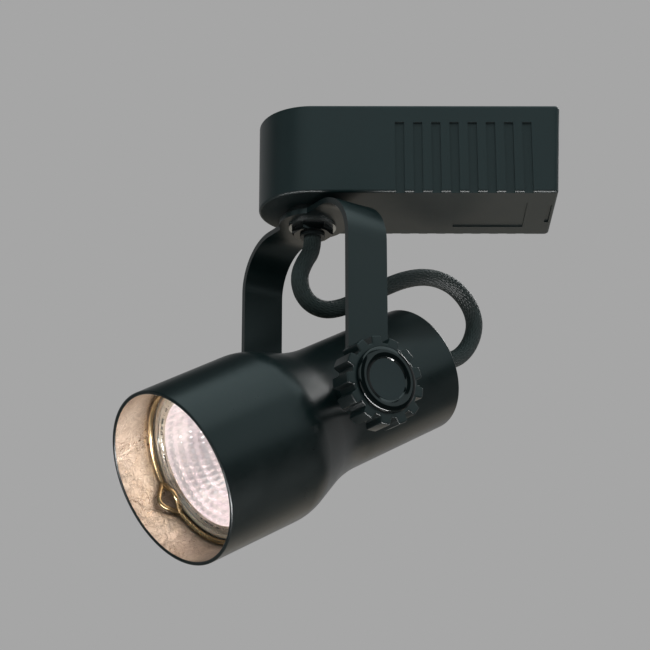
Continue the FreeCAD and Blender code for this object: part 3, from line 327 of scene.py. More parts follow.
def add(tree: bpy.types.NodeTree, kind: str, settings: dict | None = None,
        **inputs: object) -> bpy.types.Node:
    """Add a shader node.

    Args:
        tree: the node tree.
        kind: the node's type without its ShaderNode prefix.
        settings: attributes to set on the node.
        inputs: values or sockets for its inputs; an underscore in a name stands for a space,
            and a name such as in1 means the input with that number.

    Returns:
        The new node.
    """
    made = tree.nodes.new("ShaderNode" + kind)
    for key, value in (settings or {}).items():
        setattr(made, key, value)
    for key, value in inputs.items():
        number = key[2:] if key.startswith("in") and key[2:].isdigit() else None
        socket = made.inputs[int(number)] if number else made.inputs[key.replace("_", " ")]
        if isinstance(value, bpy.types.NodeSocket):
            tree.links.new(value, socket)
        else:
            socket.default_value = value
    return made


@dataclass(frozen=True)
class Finish:
    """A real finish: its colours, its gloss and the size of its grain.

    The colour wanders between dark and light with a soft noise, roughness wanders with it, and
    the surface's pattern raises a bump whose grain has a real size in millimetres.
    """

    name: str
    dark: str
    light: str
    roughness: float
    surface: Surface = Surface.PLAIN
    grain: float = 0.5
    relief: float = 0.004
    metallic: float = 0.0
    roughness_spread: float = 0.06
    patch: float = 9.0
    coat: float = 0.0
    transmission: float = 0.0
    ior: float = 1.5
    glow: float = 0.0

    def dress(self) -> bpy.types.Material:
        """Build the material's nodes.

        Returns:
            The material, ready for a piece's slot.
        """
        material = bpy.data.materials.new(self.name)
        material.use_nodes = True
        tree = material.node_tree
        tree.nodes.clear()
        place = add(tree, "TexCoord")
        along = place.outputs["Object"]
        if self.surface is Surface.BRAIDED:
            along = place.outputs["UV"]
        wander = add(tree, "TexNoise", Vector=place.outputs["Object"],
                     Scale=1.0 / (self.patch * METRES), Detail=3.0)
        pattern = self.pattern(tree, along)
        patches = add(tree, "Math", {"operation": "MULTIPLY"}, in0=wander.outputs["Fac"],
                      in1=PATCH_SHARE)
        mixed = add(tree, "Math", {"operation": "MULTIPLY_ADD"}, in0=pattern,
                    in1=PATTERN_SHARE, in2=patches.outputs[0])
        colour = add(tree, "Mix", {"data_type": "RGBA"}, in0=mixed.outputs[0],
                     in6=linear(self.dark), in7=linear(self.light))
        rough = add(tree, "MapRange", Value=mixed.outputs[0], From_Min=0.2, From_Max=0.85,
                    To_Min=self.roughness - self.roughness_spread,
                    To_Max=self.roughness + self.roughness_spread)
        bump = add(tree, "Bump", Height=pattern, Strength=1.0, Distance=self.relief * METRES)
        shader = add(tree, "BsdfPrincipled", Base_Color=colour.outputs[2],
                     Roughness=rough.outputs[0], Normal=bump.outputs[0], Metallic=self.metallic,
                     Coat_Weight=self.coat, Transmission_Weight=self.transmission, IOR=self.ior)
        if self.glow:
            shader.inputs["Emission Strength"].default_value = self.glow
            tree.links.new(colour.outputs[2], shader.inputs["Emission Color"])
        add(tree, "OutputMaterial", Surface=shader.outputs[0])
        return material

    def pattern(self, tree: bpy.types.NodeTree, along: bpy.types.NodeSocket) -> bpy.types.NodeSocket:
        """Draw the finish's pattern.

        Args:
            tree: the material's nodes.
            along: the coordinates that the pattern follows.

        Returns:
            A socket that runs from 0 to 1 over the surface.
        """
        scale = 1.0 / (self.grain * METRES)
        if self.surface is Surface.BRAIDED:
            return self.plait(tree, along)
        if self.surface is Surface.DRAWN:
            drawn = add(tree, "Mapping", Vector=along, Scale=(1.0, 1.0, DRAWN_STRETCH))
            return add(tree, "TexNoise", Vector=drawn.outputs[0], Scale=scale,
                       Detail=4.0).outputs["Fac"]
        if self.surface is Surface.CLOUDED:
            fold = add(tree, "TexNoise", Vector=along, Scale=scale, Detail=5.0, Distortion=1.2)
            return add(tree, "TexVoronoi", {"feature": "SMOOTH_F1"}, Vector=fold.outputs["Color"],
                       Scale=9.0).outputs["Distance"]
        if self.surface is Surface.MOULDED:
            return add(tree, "TexNoise", Vector=along, Scale=scale, Detail=6.0,
                       Roughness=0.65).outputs["Fac"]
        return add(tree, "TexNoise", Vector=along, Scale=scale, Detail=2.0).outputs["Fac"]

    def plait(self, tree: bpy.types.NodeTree, along: bpy.types.NodeSocket) -> bpy.types.NodeSocket:
        """Draw crossing yarns over UV, with painted sheen on crests and painted shade in grooves.

        Each family is |cos(pi (count u +- turns v))|; the higher one shows, times a fine noise.

        Args:
            tree: the material's nodes.
            along: UV, with u round the piece and v along it.

        Returns:
            A socket that is high on the crests of the yarns.
        """
        parts = add(tree, "SeparateXYZ", Vector=along)
        lean = add(tree, "Math", {"operation": "MULTIPLY"}, in0=parts.outputs[1],
                   in1=math.pi * PLAIT_TURNS)
        crests = []
        for way in (1.0, -1.0):
            phase = add(tree, "Math", {"operation": "MULTIPLY_ADD"}, in0=parts.outputs[0],
                        in1=way * math.pi * PLAIT_COUNT, in2=lean.outputs[0])
            wave = add(tree, "Math", {"operation": "COSINE"}, in0=phase.outputs[0])
            crest = add(tree, "Math", {"operation": "ABSOLUTE"}, in0=wave.outputs[0])
            crests.append(crest.outputs[0])
        top = add(tree, "Math", {"operation": "MAXIMUM"}, in0=crests[0], in1=crests[1])
        place = add(tree, "TexCoord")
        # A fine noise whose high spots, thinned by a power, are painted glints of single filaments.
        glint_fleck = add(tree, "TexNoise", Vector=place.outputs["Object"],
                    Scale=1.0 / (self.grain * METRES), Detail=3.0)
        bright = add(tree, "Math", {"operation": "POWER"}, in0=glint_fleck.outputs["Fac"],
                     in1=GLINT_POWER)
        return add(tree, "Math", {"operation": "MULTIPLY"}, in0=top.outputs[0],
                   in1=bright.outputs[0]).outputs[0]


# Housing: ABS moulded in a spark-eroded tool, which gives a satin black with a fine tooth.
HOUSING_ABS = Finish("spark_grained_black_abs", "#12282a", "#1c3335", 0.43, Surface.MOULDED,
                     grain=0.35, relief=0.006)
# Shade and yoke: stoved black paint, semi-gloss with a faint orange peel.
STOVED_BLACK = Finish("stoved_semigloss_black_paint", "#091e1f", "#0e2526", 0.31, Surface.SPRAYED,
                      grain=1.6, relief=0.003)
# Inside of the shade: a champagne metallic paint over spun metal, with a coarse bright grain.
CHAMPAGNE = Finish("champagne_metallic_paint", "#6d4f33", "#fff3e6", 0.36, Surface.CLOUDED,
                   grain=3.2, relief=0.16, metallic=0.75, roughness_spread=0.14, patch=14.0)
# Knob: glass-filled nylon, satin, with a slightly rougher grain than the housing.
KNOB_NYLON = Finish("glass_filled_black_nylon", "#0e2021", "#1a2c2d", 0.36, Surface.MOULDED,
                    grain=0.5, relief=0.006)
# Knob cap: a polished black shoulder with a hard reflection, round a satin disc.
GLOSS_BLACK = Finish("polished_black_abs", "#031011", "#061617", 0.08, Surface.PLAIN,
                     grain=3.0, relief=0.001, roughness_spread=0.02)
CAP_DISC = Finish("satin_black_disc", "#142427", "#1e3033", 0.36, Surface.MOULDED,
                  grain=0.3, relief=0.004)
# Swivel nipple and its nut: bright plate that is nearly black.
BLACK_NICKEL = Finish("black_nickel_plate", "#0b1011", "#171d1e", 0.12, Surface.DRAWN,
                      grain=0.6, relief=0.002, metallic=0.6, roughness_spread=0.03)
ZINC_PLATE = Finish("zinc_plated_steel", "#8f9294", "#c2c4c2", 0.32, Surface.DRAWN,
                    grain=0.6, relief=0.003, metallic=1.0)
# Wire ring: silvery spring wire, tan here as a painted warm reflection of the champagne inside.
WARM_TINTED_SPRING_WIRE = Finish("spring_wire_painted_warm_reflection", "#7c674a", "#c4ab85", 0.26, Surface.DRAWN,
                      grain=0.5, relief=0.002, metallic=1.0)
BRASS = Finish("bare_brass", "#a07a34", "#d9b865", 0.28, Surface.DRAWN, grain=0.5, metallic=1.0)
FIBRE = Finish("pressed_red_brown_fibre", "#3b2a22", "#5a4235", 0.72, Surface.MOULDED,
               grain=0.4, relief=0.012)
NYLON = Finish("natural_black_nylon", "#0c1a1b", "#182627", 0.45, Surface.MOULDED, grain=0.4)
RUBBER = Finish("black_rubber", "#0b0c0c", "#161717", 0.62, Surface.MOULDED, grain=0.6, relief=0.01)
FR4 = Finish("green_solder_mask", "#0c3a1f", "#16592f", 0.34, Surface.MOULDED, grain=0.9)
FERRITE = Finish("sintered_ferrite", "#17181a", "#2c2e31", 0.55, Surface.MOULDED, grain=0.5,
                 relief=0.01)
ENAMELLED_COPPER = Finish("enamelled_copper_wire", "#6d2f14", "#b4632f", 0.3, Surface.DRAWN,
                          grain=0.5, relief=0.02, metallic=0.9)
DIPPED_FILM = Finish("dipped_film_capacitor", "#6e1410", "#9c2a1e", 0.25, Surface.SPRAYED, grain=2.0)
EPOXY = Finish("moulded_epoxy_package", "#0d0d0e", "#1b1b1c", 0.5, Surface.MOULDED, grain=0.3)
POLYAMIDE = Finish("grey_polyamide_terminal", "#87867c", "#a9a89d", 0.5, Surface.MOULDED, grain=0.4)
ALUMINIUM = Finish("plain_rolled_aluminium", "#9fa1a3", "#cfd0d0", 0.34, Surface.DRAWN,
                   grain=0.5, relief=0.003, metallic=1.0)
STEATITE = Finish("unglazed_steatite", "#cdc5b4", "#e9e3d6", 0.62, Surface.MOULDED, grain=0.5,
                  relief=0.012)
LAMP_GLASS = Finish("pressed_lamp_glass", "#f4f8fa", "#ffffff", 0.03, Surface.PLAIN, grain=8.0,
                    relief=0.002, roughness_spread=0.015, transmission=1.0, ior=1.47)
RIM_GLASS = Finish("ground_glass_rim", "#b59a77", "#f6ece0", 0.18, Surface.PLAIN, grain=1.2,
                   relief=0.01, coat=0.6)
# Reflector: a dichroic coating with a painted glow, for the filament's light in its facets.
DICHROIC_PAINTED_GLOW = Finish("faceted_dichroic_painted_glow", "#ab98a0", "#fff6f3", 0.12, Surface.PLAIN, grain=1.5,
                  relief=0.01, metallic=0.85, glow=0.55, patch=5.0)
FILAMENT = Finish("glowing_tungsten", "#ffe2bd", "#fff4e2", 0.5, Surface.PLAIN, glow=14.0)
# Cord sleeve: dark yarns, with a painted sheen on their crests and painted glints.
SLEEVE_WITH_PAINTED_SHEEN = Finish("plaited_polyester_sleeve", "#071212", "#5d6967", 0.58, Surface.BRAIDED,
                grain=0.35, relief=0.05, roughness_spread=0.12)
SILICONE = Finish("silicone_covered_wire", "#9b9a92", "#c7c6bd", 0.5, Surface.MOULDED, grain=0.6)
# Floor of the studio.
STUDIO_PAPER = Finish("pale_studio_paper", "#b9b8b5", "#c6c5c2", 0.8, Surface.MOULDED, grain=2.0,
                      patch=300.0)

NODE_FINISHES = {
    HOUSING_ABS: ("housing_shell", "top_cover", "connector_stem", "lock_latch"),
    ZINC_PLATE: ("cover_screws", "latch_spring", "board_screws", "flange_washer", "wave_washer",
                 "nipple_lock_nut", "socket_bracket", "bracket_screws", "socket_screws",
                 "pivot_stud_left", "pivot_stud_right", "lock_washer_left", "lock_washer_right",
                 "lamp_pins"),
    BRASS: ("line_contact", "neutral_contact", "earth_contact"),
    FR4: ("circuit_board",),
    FERRITE: ("transformer_core",),
    ENAMELLED_COPPER: ("transformer_winding", "choke_coil"),
    DIPPED_FILM: ("film_capacitors",),
    EPOXY: ("power_transistors",),
    ALUMINIUM: ("heat_sink", "lamp_seat"),
    POLYAMIDE: ("terminal_block",),
    NYLON: ("swivel_washer", "thrust_washer", "cord_bushing"),
    BLACK_NICKEL: ("swivel_nipple", "nipple_nut"),
    SILICONE: ("swivel_leads", "socket_leads"),
    STOVED_BLACK: ("yoke", "pivot_spacer_left", "pivot_spacer_right"),
    FIBRE: ("friction_washer_left", "friction_washer_right"),
    STEATITE: ("lamp_socket", "lamp_base"),
    RUBBER: ("cord_grommet",),
    LAMP_GLASS: ("lamp_capsule",),
}


class Wardrobe:
    """Makes each finish's material once and hands it to the pieces."""

    def __init__(self) -> None:
        """Start with no material made."""
        self.made = {}

    def dress(self, piece: bpy.types.Object, *finishes: Finish) -> None:
        """Give a piece its materials, one slot for each finish.

        Emptying the slots also sends every face back to the first one, so a new piece, which has
        no slots yet, is left as it is.

        Args:
            piece: the piece, new or from the CAD model.
            finishes: its finishes, in the order of its faces' material indices.
        """
        if len(piece.data.materials):
            piece.data.materials.clear()
        for finish in finishes:
            if finish not in self.made:
                self.made[finish] = finish.dress()
            piece.data.materials.append(self.made[finish])


def settle(piece: bpy.types.Object, body: str, slot: str, *nodes: str) -> bpy.types.Object:
    """Let a piece ride on a CAD body and stand for CAD nodes.

    Args:
        piece: the finished piece.
        body: the CAD body that carries it.
        slot: the record's material slot of its finish; not used.
        nodes: the CAD nodes that it stands for.

    Returns:
        The piece.
    """
    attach(piece, body)
    if nodes:
        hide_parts(*nodes)
    LOG.info("%s: %d faces on %s", piece.name, len(piece.data.polygons), body)
    return piece


# --- shade --------------------------------------------------------------------------------------
@dataclass(frozen=True)
class Shade:
    """The stepped spun shade: painted black outside and champagne inside."""

    radius: float = 28.2
    front: float = 58.9
    neck_front: float = 20.5
    neck_rear: float = 1.0
    crown_blend: float = 20.0
    hollow_blend: float = 42.0
    rear_radius: float = 20.9
    rear: float = -46.5
    wall: float = 1.2
    lip: float = 0.45
    rear_round: float = 0.5
    rear_corner: float = 0.4
    painted_rows: int = 18
    arc_steps: int = 20
    segments: int = 192

    def build(self, frames: FixtureFrames, wardrobe: Wardrobe) -> None:
        """Turn the shade's closed section about the beam axis and paint its two sides.

        The outer line runs from the rear wall over the neck's two blends to the lip, and the
        inner line returns one wall thickness inside it.  The black paint goes on round the lip
        for a few rows.

        Args:
            frames: the local frames of the fixture.
            wardrobe: the finishes' materials.
        """
        thin = self.wall
        outer = rounded_outline([
            (0, self.rear, 0), (self.rear_radius, self.rear, self.rear_round),
            (self.rear_radius, self.neck_rear, self.hollow_blend),
            (self.radius, self.neck_front, self.crown_blend),
            (self.radius, self.front, self.lip), (self.radius - thin / 2, self.front, 0)],
            self.arc_steps)
        inner = rounded_outline([
            (self.radius - thin / 2, self.front, 0), (self.radius - thin, self.front, self.lip),
            (self.radius - thin, self.neck_front, self.crown_blend - thin),
            (self.rear_radius - thin, self.neck_rear, self.hollow_blend + thin),
            (self.rear_radius - thin, self.rear + thin, self.rear_corner),
            (0, self.rear + thin, 0)], self.arc_steps)
        black_rows = len(outer) + self.painted_rows
        skins = [0] * black_rows + [1] * (len(outer) + len(inner) - 2 - black_rows)
        profile = np.concatenate([outer, inner[1:]])
        grid = lathe(profile, frames.head, self.segments)
        shell = grid_mesh("shade_shell", [grid], closed=False, skins=skins)
        wardrobe.dress(shell, STOVED_BLACK, CHAMPAGNE)
        settle(shell, "head", "black_paint", "head_shell")


# --- lamp ---------------------------------------------------------------------------------------
@dataclass(frozen=True)
class ReflectorLamp:
    """The 50 mm reflector lamp: a faceted glass reflector, its cover glass and its filament."""

    radius: float = 25.2
    face: float = 44.5
    rim: float = 2.0
    cover: float = 1.8
    cover_radius: float = 23.9
    throat: float = 5.3
    base: float = 22.5
    facet_rings: int = 7
    facets: int = 52
    facet_depth: float = 0.35
    facet_rows: int = 8
    facet_columns: int = 6
    mouth_inset: float = 2.6
    coil_radius: float = 0.9
    coil_length: float = 4.4
    coil_turns: int = 7
    coil_wire: float = 0.14
    coil_height: float = 6.5
    light_radius: float = 9.0
    light_radiance: float = 2.2
    light_shift: tuple = (-12.5, 1.5)
    light_gap: float = 0.4
    light_colour: str = "#fff0de"

    def bowl(self, share: np.ndarray) -> np.ndarray:
        """Inner radius: throat + (mouth - throat) times the root of the share of the depth."""
        mouth = self.cover_radius - self.mouth_inset
        return self.throat + (mouth - self.throat) * np.sqrt(share)

    def reflector(self, axes: Axes) -> np.ndarray:
        """Work out the bowl as one closed grid.

        Inside, each facet is a shallow pillow: the radius gives way by the facet depth times
        |sin| of its place round the ring times |sin| of its place along the bowl.

        Args:
            axes: the frame whose z is the beam.

        Returns:
            The grid, from the rim's outer edge down the inside and back up the outside.
        """
        columns = self.facets * self.facet_columns
        glass_back = self.face - self.cover
        share = np.linspace(1, 0, self.facet_rings * self.facet_rows + 1)
        turn = np.arange(columns) / columns
        ring = share * self.facet_rings
        stagger = np.floor(np.clip(ring, 0, self.facet_rings - 1e-6)) % 2 * 0.5
        pillow = (np.abs(np.sin(math.pi * ring))[:, None]
                  * np.abs(np.sin(math.pi * (turn * self.facets + stagger[:, None]))))
        height = self.base + (glass_back - self.base) * share
        inside = self.bowl(share)[:, None] + self.facet_depth * pillow
        outside = rounded_outline([
            (self.throat + 1.6, self.base, 0), (15.0, self.base + 3.6, 5.0),
            (22.4, self.base + 16.0, 8.0), (23.0, self.face - self.rim, 0.2),
            (self.radius, self.face - self.rim, 0.3), (self.radius, self.face, 0.5),
            (self.cover_radius, self.face, 0.2), (self.cover_radius, glass_back, 0)], 8)
        angle = turn * FULL_TURN
        spoke = np.stack([np.cos(angle), np.sin(angle), np.zeros(columns)], -1)
        bowl = inside[..., None] * spoke + height[:, None, None] * Z_AXIS
        skin = outside[:, None, :1] * spoke + outside[:, None, 1:] * Z_AXIS
        return axes.place(np.concatenate([bowl, skin]))

    def cover_glass(self, axes: Axes) -> np.ndarray:
        """Turn the cover glass: a flat disc whose border is pressed into three fine steps.

        Args:
            axes: the frame whose z is the beam.

        Returns:
            The grid, from the middle of the back to the middle of the front.
        """
        back, front, edge = self.face - self.cover, self.face - 0.2, self.cover_radius - 0.02
        section = rounded_outline([
            (0, back, 0), (edge, back, 0.3), (edge, front, 0.6), (edge - 1.6, front, 0.4),
            (edge - 2.1, front - 0.45, 0.3), (edge - 3.4, front - 0.45, 0.3),
            (edge - 3.9, front - 0.1, 0.3), (0, front - 0.1, 0)], 6)
        return lathe(section, axes, 160)

    def filament(self, axes: Axes) -> np.ndarray:
        """Wind the filament: a helix across the capsule, (r cos t, length share, r sin t).

        Args:
            axes: the frame whose z is the beam.

        Returns:
            The grid of the wire.
        """
        share = np.linspace(0, 1, 20 * self.coil_turns + 1)
        turn = share * self.coil_turns * FULL_TURN
        local = np.stack([self.coil_radius * np.cos(turn), (share - 0.5) * self.coil_length,
                          self.base + self.coil_height + self.coil_radius * np.sin(turn)], -1)
        return tube(axes.place(local), self.coil_wire, 8)

    def light(self, axes: Axes) -> None:
        """Let the burning lamp light the inside of the shade from just before its glass.

        Args:
            axes: the frame whose z is the beam.
        """
        glow = bpy.data.lights.new("lamp_light", "AREA")
        glow.shape, glow.size = "DISK", 2 * self.light_radius * METRES
        glow.energy = self.light_radiance * (math.pi * self.light_radius * METRES) ** 2
        glow.color = linear(self.light_colour)[:3]
        holder = bpy.data.objects.new("lamp_light", glow)
        bpy.context.scene.collection.objects.link(holder)
        spot = np.array([*self.light_shift, self.face + self.light_gap])
        holder.location = axes.place(spot) * METRES
        holder.rotation_euler = Vector(axes.z).to_track_quat("-Z", "Y").to_euler()
        holder.visible_camera = False
        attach(holder, "lamp")

    def build(self, frames: FixtureFrames, wardrobe: Wardrobe) -> None:
        """Make the reflector, its cover glass and the filament, and light the lamp.

        Args:
            frames: the local frames of the fixture.
            wardrobe: the finishes' materials.
        """
        bowl_rows = self.facet_rings * self.facet_rows
        grid = self.reflector(frames.head)
        skins = [0] * bowl_rows + [1] * (len(grid) - bowl_rows)
        bowl = grid_mesh("faceted_reflector", [grid], skins=skins, sharp=60.0)
        # The bowl's inside carries a painted glow of reflected filament light.
        wardrobe.dress(bowl, DICHROIC_PAINTED_GLOW, RIM_GLASS)
        settle(bowl, "lamp", "dichroic", "lamp_reflector")
        glass = grid_mesh("cover_glass", [self.cover_glass(frames.head)], closed=False)
        wardrobe.dress(glass, LAMP_GLASS)
        settle(glass, "lamp", "lamp_glass", "lamp_front_glass")
        self.light(frames.head)
        coil = grid_mesh("lamp_filament", [self.filament(frames.head)], closed=False)
        wardrobe.dress(coil, FILAMENT)
        settle(coil, "lamp", "zinc_steel")


@dataclass(frozen=True)
class WireRing:
    """The sprung wire ring that keeps the lamp in, with an eye to squeeze."""

    wire: float = 0.8
    radius: float = 25.9
    eye_angle: float = 192.0
    eye_half: float = 13.0
    rise: float = 4.6
    front_inward: float = 0.9
    bow_forward: float = 1.0
    bow_share: float = 0.98
    height: float = 45.4
    swell_power: float = 1.3
    hoop_steps: int = 181
    eye_steps: int = 41
    sides: int = 16

    def arc(self, start: float, end: float, steps: int, inward: float = 0.0,
            forward: float = 0.0) -> np.ndarray:
        """Follow the ring from one angle to another, bowed in and forward.

        Both bows grow with sin(pi share) to the swell's power, so they start and end at nought.

        Args:
            start: the first angle, in degrees.
            end: the last angle.
            steps: the points of the arc.
            inward: how far the wire bows towards the axis.
            forward: how far it bows towards the mouth.

        Returns:
            The points, in the head's frame.
        """
        share = np.linspace(0, 1, steps)
        swell = np.sin(math.pi * share) ** self.swell_power
        angle = np.radians(start + (end - start) * share)
        reach = self.radius - inward * swell
        return np.stack([reach * np.cos(angle), reach * np.sin(angle),
                         self.height + forward * swell], -1)

    def build(self, frames: FixtureFrames, wardrobe: Wardrobe) -> None:
        """Carry the wire round the hoop and through the eye's two bows.

        Args:
            frames: the local frames of the fixture.
            wardrobe: the finishes' materials.
        """
        low, high = self.eye_angle - self.eye_half, self.eye_angle + self.eye_half
        hoop = self.arc(high, low + 360, self.hoop_steps)
        front = self.arc(low, high, self.eye_steps, self.front_inward, self.rise)
        closed = frames.head.place(np.concatenate([hoop[:-1], front[:-1]]))
        bow = frames.head.place(self.arc(low, high, self.eye_steps, self.rise, self.bow_forward))
        loop = tube(closed, self.wire, self.sides, ring=True)
        crossing = tube(bow, self.wire * self.bow_share, self.sides)
        ring = grid_mesh("wire_ring", [loop], sharp=180.0)
        eye = grid_mesh("wire_eye", [crossing], closed=False, sharp=180.0)
        for piece, nodes in ((ring, ("retaining_ring",)), (eye, ())):
            wardrobe.dress(piece, WARM_TINTED_SPRING_WIRE)
            settle(piece, "lamp_ring", "spring_wire", *nodes)


# --- knobs --------------------------------------------------------------------------------------
@dataclass(frozen=True)
class LockingKnob:
    """A gear-shaped grip with a polished cap, screwed on the pivot stud."""

    side: str
    root: float = 12.0
    tip: float = 14.2
    lobes: int = 13
    root_width: float = 4.2
    tip_width: float = 3.0
    base: float = 33.2
    thickness: float = 8.2
    socket: float = 9.6
    socket_depth: float = 2.6
    bore: float = 3.0
    edge: float = 0.45
    cap_radius: float = 10.6
    cap_height: float = 1.6
    disc: float = 6.6
    disc_sink: float = 0.64
    lobe_columns: int = 32
    face_land: float = 1.2

    def outline(self, angle: np.ndarray) -> np.ndarray:
        """Work out the grip's radius: the root's, and up to the tip's inside a lobe's flanks.

        With s the share of the way up a flank, the radius is root + (tip - root)(3 s s - 2 s s s).

        Args:
            angle: places round the axis, in radians.

        Returns:
            The radius at each angle.
        """
        pitch = FULL_TURN / self.lobes
        off = np.abs((angle + pitch / 2) % pitch - pitch / 2)
        inner = math.asin(self.tip_width / 2 / self.tip)
        outer = math.asin(self.root_width / 2 / self.root)
        rise = np.clip((outer - off) / (outer - inner), 0, 1)
        return self.root + (self.tip - self.root) * rise * rise * (3 - 2 * rise)

    def grip(self, axes: Axes) -> np.ndarray:
        """Sweep the grip's section round the axis, its outer part following the lobes.

        The socket's rows keep the same radius all round, and the outer rows are at outline(a)
        less the inset of the edge's rounding.

        Args:
            axes: the frame whose z is this side's pivot, pointing outwards.

        Returns:
            The grid of the grip.
        """
        columns = self.lobes * self.lobe_columns
        angle = np.arange(columns) * FULL_TURN / columns
        face = self.base + self.thickness
        round_off = np.linspace(0, math.pi / 2, 7)
        inset, drop = self.edge * (1 - np.sin(round_off)), self.edge * (1 - np.cos(round_off))
        lobe = np.concatenate([
            np.stack([inset, face - drop], -1),
            np.stack([inset[::-1], self.base + drop[::-1]], -1)])
        inner = rounded_outline([
            (self.bore, self.base, 0.2), (self.bore, face - self.socket_depth, 0.0),
            (self.socket, face - self.socket_depth, 0.2), (self.socket, face, 0.25),
            (self.socket + self.face_land, face, 0)], 4)
        ring = np.stack([np.cos(angle), np.sin(angle), np.zeros(columns)], -1)
        outline = self.outline(angle)[None, :] - lobe[:, :1]
        outside = outline[..., None] * ring + lobe[:, None, 1:] * Z_AXIS
        inside = inner[:, None, :1] * ring + inner[:, None, 1:] * Z_AXIS
        return axes.place(np.concatenate([inside, outside]))

    def cap(self, axes: Axes) -> np.ndarray:
        """Turn the cap: a rounded polished shoulder round a slightly sunken disc.

        Args:
            axes: the frame whose z is this side's pivot, pointing outwards.

        Returns:
            The grid, from the middle of the back to the middle of the disc.
        """
        face = self.base + self.thickness
        top = face + self.cap_height
        floor = top - self.disc_sink
        shoulder = (self.cap_radius + self.disc) / 2
        section = rounded_outline([
            (0, face - self.socket_depth, 0), (self.socket, face - self.socket_depth, 0.2),
            (self.socket, face, 0), (self.cap_radius, face, 0.15),
            (self.cap_radius, top - 0.35, 0.9), (shoulder, top + 0.2, 2.2),
            (self.disc + 0.35, top - 0.25, 0.6), (self.disc, floor, 0.12), (0, floor, 0)], 8)
        return lathe(section, axes, 144)

    def build(self, frames: FixtureFrames, wardrobe: Wardrobe) -> None:
        """Make the grip and its cap on this side's pivot.

        Args:
            frames: the local frames of the fixture.
            wardrobe: the finishes' materials.
        """
        axes = frames.knob_left if self.side == "left" else frames.knob_right
        body = f"knob_{self.side}"
        grip = grid_mesh(f"lobed_grip_{self.side}", [self.grip(axes)], sharp=40.0)
        wardrobe.dress(grip, KNOB_NYLON)
        settle(grip, body, "knob_plastic", f"knob_{self.side}")
        grid = self.cap(axes)
        heights = (grid[:, 0] - axes.origin) @ axes.z
        spread = np.linalg.norm(grid[:, 0] - axes.origin - heights[:, None] * axes.z, axis=1)
        disc = (spread[:-1] <= self.disc + 1e-3) & (heights[:-1] > self.base + self.thickness)
        cap = grid_mesh(f"polished_cap_{self.side}", [grid], closed=False,
                        skins=[int(x) for x in disc])
        wardrobe.dress(cap, GLOSS_BLACK, CAP_DISC)
        settle(cap, body, "gloss_cap", f"knob_cap_{self.side}")


# --- cord ---------------------------------------------------------------------------------------
@dataclass(frozen=True)
class BraidedCord:
    """The cord that loops behind the yoke, a plaited sleeve over two heat-proof leads."""

    radius: float = 2.9
    strands: int = 20
    strand_rise: float = 0.26
    plait_pitch: float = 24.0
    lay_slope: float = 3.0
    crest_power: float = 1.4
    end_rows: float = 3.0
    end_shrink: float = 0.12
    row_step: float = 0.26
    rows_a_point: int = 4
    sides: int = 144
    # (rearward, height) of each point in the yoke's middle plane, as in the CAD model.
    route: tuple = (
        (0.0, -39.9), (0.0, -44.4), (-3.2, -49.4), (-5.2, -54.6), (-4.3, -60.0), (-0.8, -63.6),
        (4.6, -64.6), (10.8, -62.6), (17.2, -58.9), (24.2, -54.2), (30.6, -50.2), (36.4, -47.0),
        (43.6, -44.2), (50.8, -43.3), (58.0, -44.9), (63.6, -49.4), (66.2, -55.0), (65.7, -60.4),
        (63.0, -66.1), (58.5, -70.8), (52.7, -73.0), (46.94, -74.4), (42.435, -77.0))

    def centreline(self, axes: Axes) -> np.ndarray:
        """Read the points of the smooth line that the route controls.

        Args:
            axes: the yoke's frame.

        Returns:
            Points of a NURBS spline of order 3, evenly spread by the row step, in millimetres.
        """
        rear, height = np.array(self.route).T
        points = axes.place(np.stack([np.zeros(len(rear)), rear, height], -1))
        curve = bpy.data.curves.new("cord_line", "CURVE")
        curve.dimensions = "3D"
        curve.resolution_u = 24
        spline = curve.splines.new("NURBS")
        spline.points.add(len(points) - 1)
        fourth = np.ones((len(points), 1))
        spline.points.foreach_set("co", np.hstack([points * METRES, fourth]).ravel())
        spline.order_u = 3
        spline.use_endpoint_u = True
        holder = bpy.data.objects.new("cord_line", curve)
        bpy.context.scene.collection.objects.link(holder)
        mesh = bpy.data.meshes.new_from_object(holder)
        line = np.empty(len(mesh.vertices) * 3, np.float32)
        mesh.vertices.foreach_get("co", line)
        bpy.data.meshes.remove(mesh)
        bpy.data.objects.remove(holder)
        bpy.data.curves.remove(curve)
        line = line.reshape(-1, 3).astype(float) / METRES
        reach = np.concatenate([[0], np.cumsum(np.linalg.norm(np.diff(line, axis=0), axis=1))])
        even = np.linspace(0, reach[-1], int(reach[-1] / self.row_step))
        return np.stack([np.interp(even, reach, line[:, i]) for i in range(3)], -1)

    def sleeve(self, line: np.ndarray) -> np.ndarray:
        """Carry the plaited sleeve along the line.

        Two families of strands wind opposite ways.  With p the angle round the cord and q a full
        turn for each plait pitch along it, their crests are |cos(strands (p + q / slope) / 2)|
        and |cos(strands (p - q / slope) / 2)|.  The higher crest shows, raised to a power that
        widens the grooves, so they pass over and under.

        Args:
            line: the points of the cord's middle.

        Returns:
            The grid of the sleeve, whose last rows shrink a little.
        """
        way = np.arange(len(line)) * self.row_step / self.plait_pitch * FULL_TURN
        angle = np.arange(self.sides) * FULL_TURN / self.sides
        p, q = angle[None, :], way[:, None]
        lay = self.strands / 2
        right = np.cos(lay * p + lay * q / self.lay_slope)
        left = np.cos(lay * p - lay * q / self.lay_slope)
        crest = np.maximum(np.abs(right), np.abs(left)) ** self.crest_power
        row = np.arange(len(line))
        ends = np.clip(np.minimum(row, row[::-1]) / self.end_rows, 0, 1)
        radius = (self.radius - self.strand_rise * (1 - crest)
                  - self.end_shrink * (1 - ends[:, None]))
        return tube(line, radius, self.sides)

    def build(self, frames: FixtureFrames, wardrobe: Wardrobe) -> None:
        """Args:
            frames: the local frames of the fixture.
            wardrobe: the finishes' materials.
        """
        line = self.centreline(frames.yoke)
        sleeve = grid_mesh("braided_cord", [self.sleeve(line)], closed=False, sharp=180.0)
        wardrobe.dress(sleeve, SLEEVE_WITH_PAINTED_SHEEN)
        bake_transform(sleeve)
        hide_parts("cord")


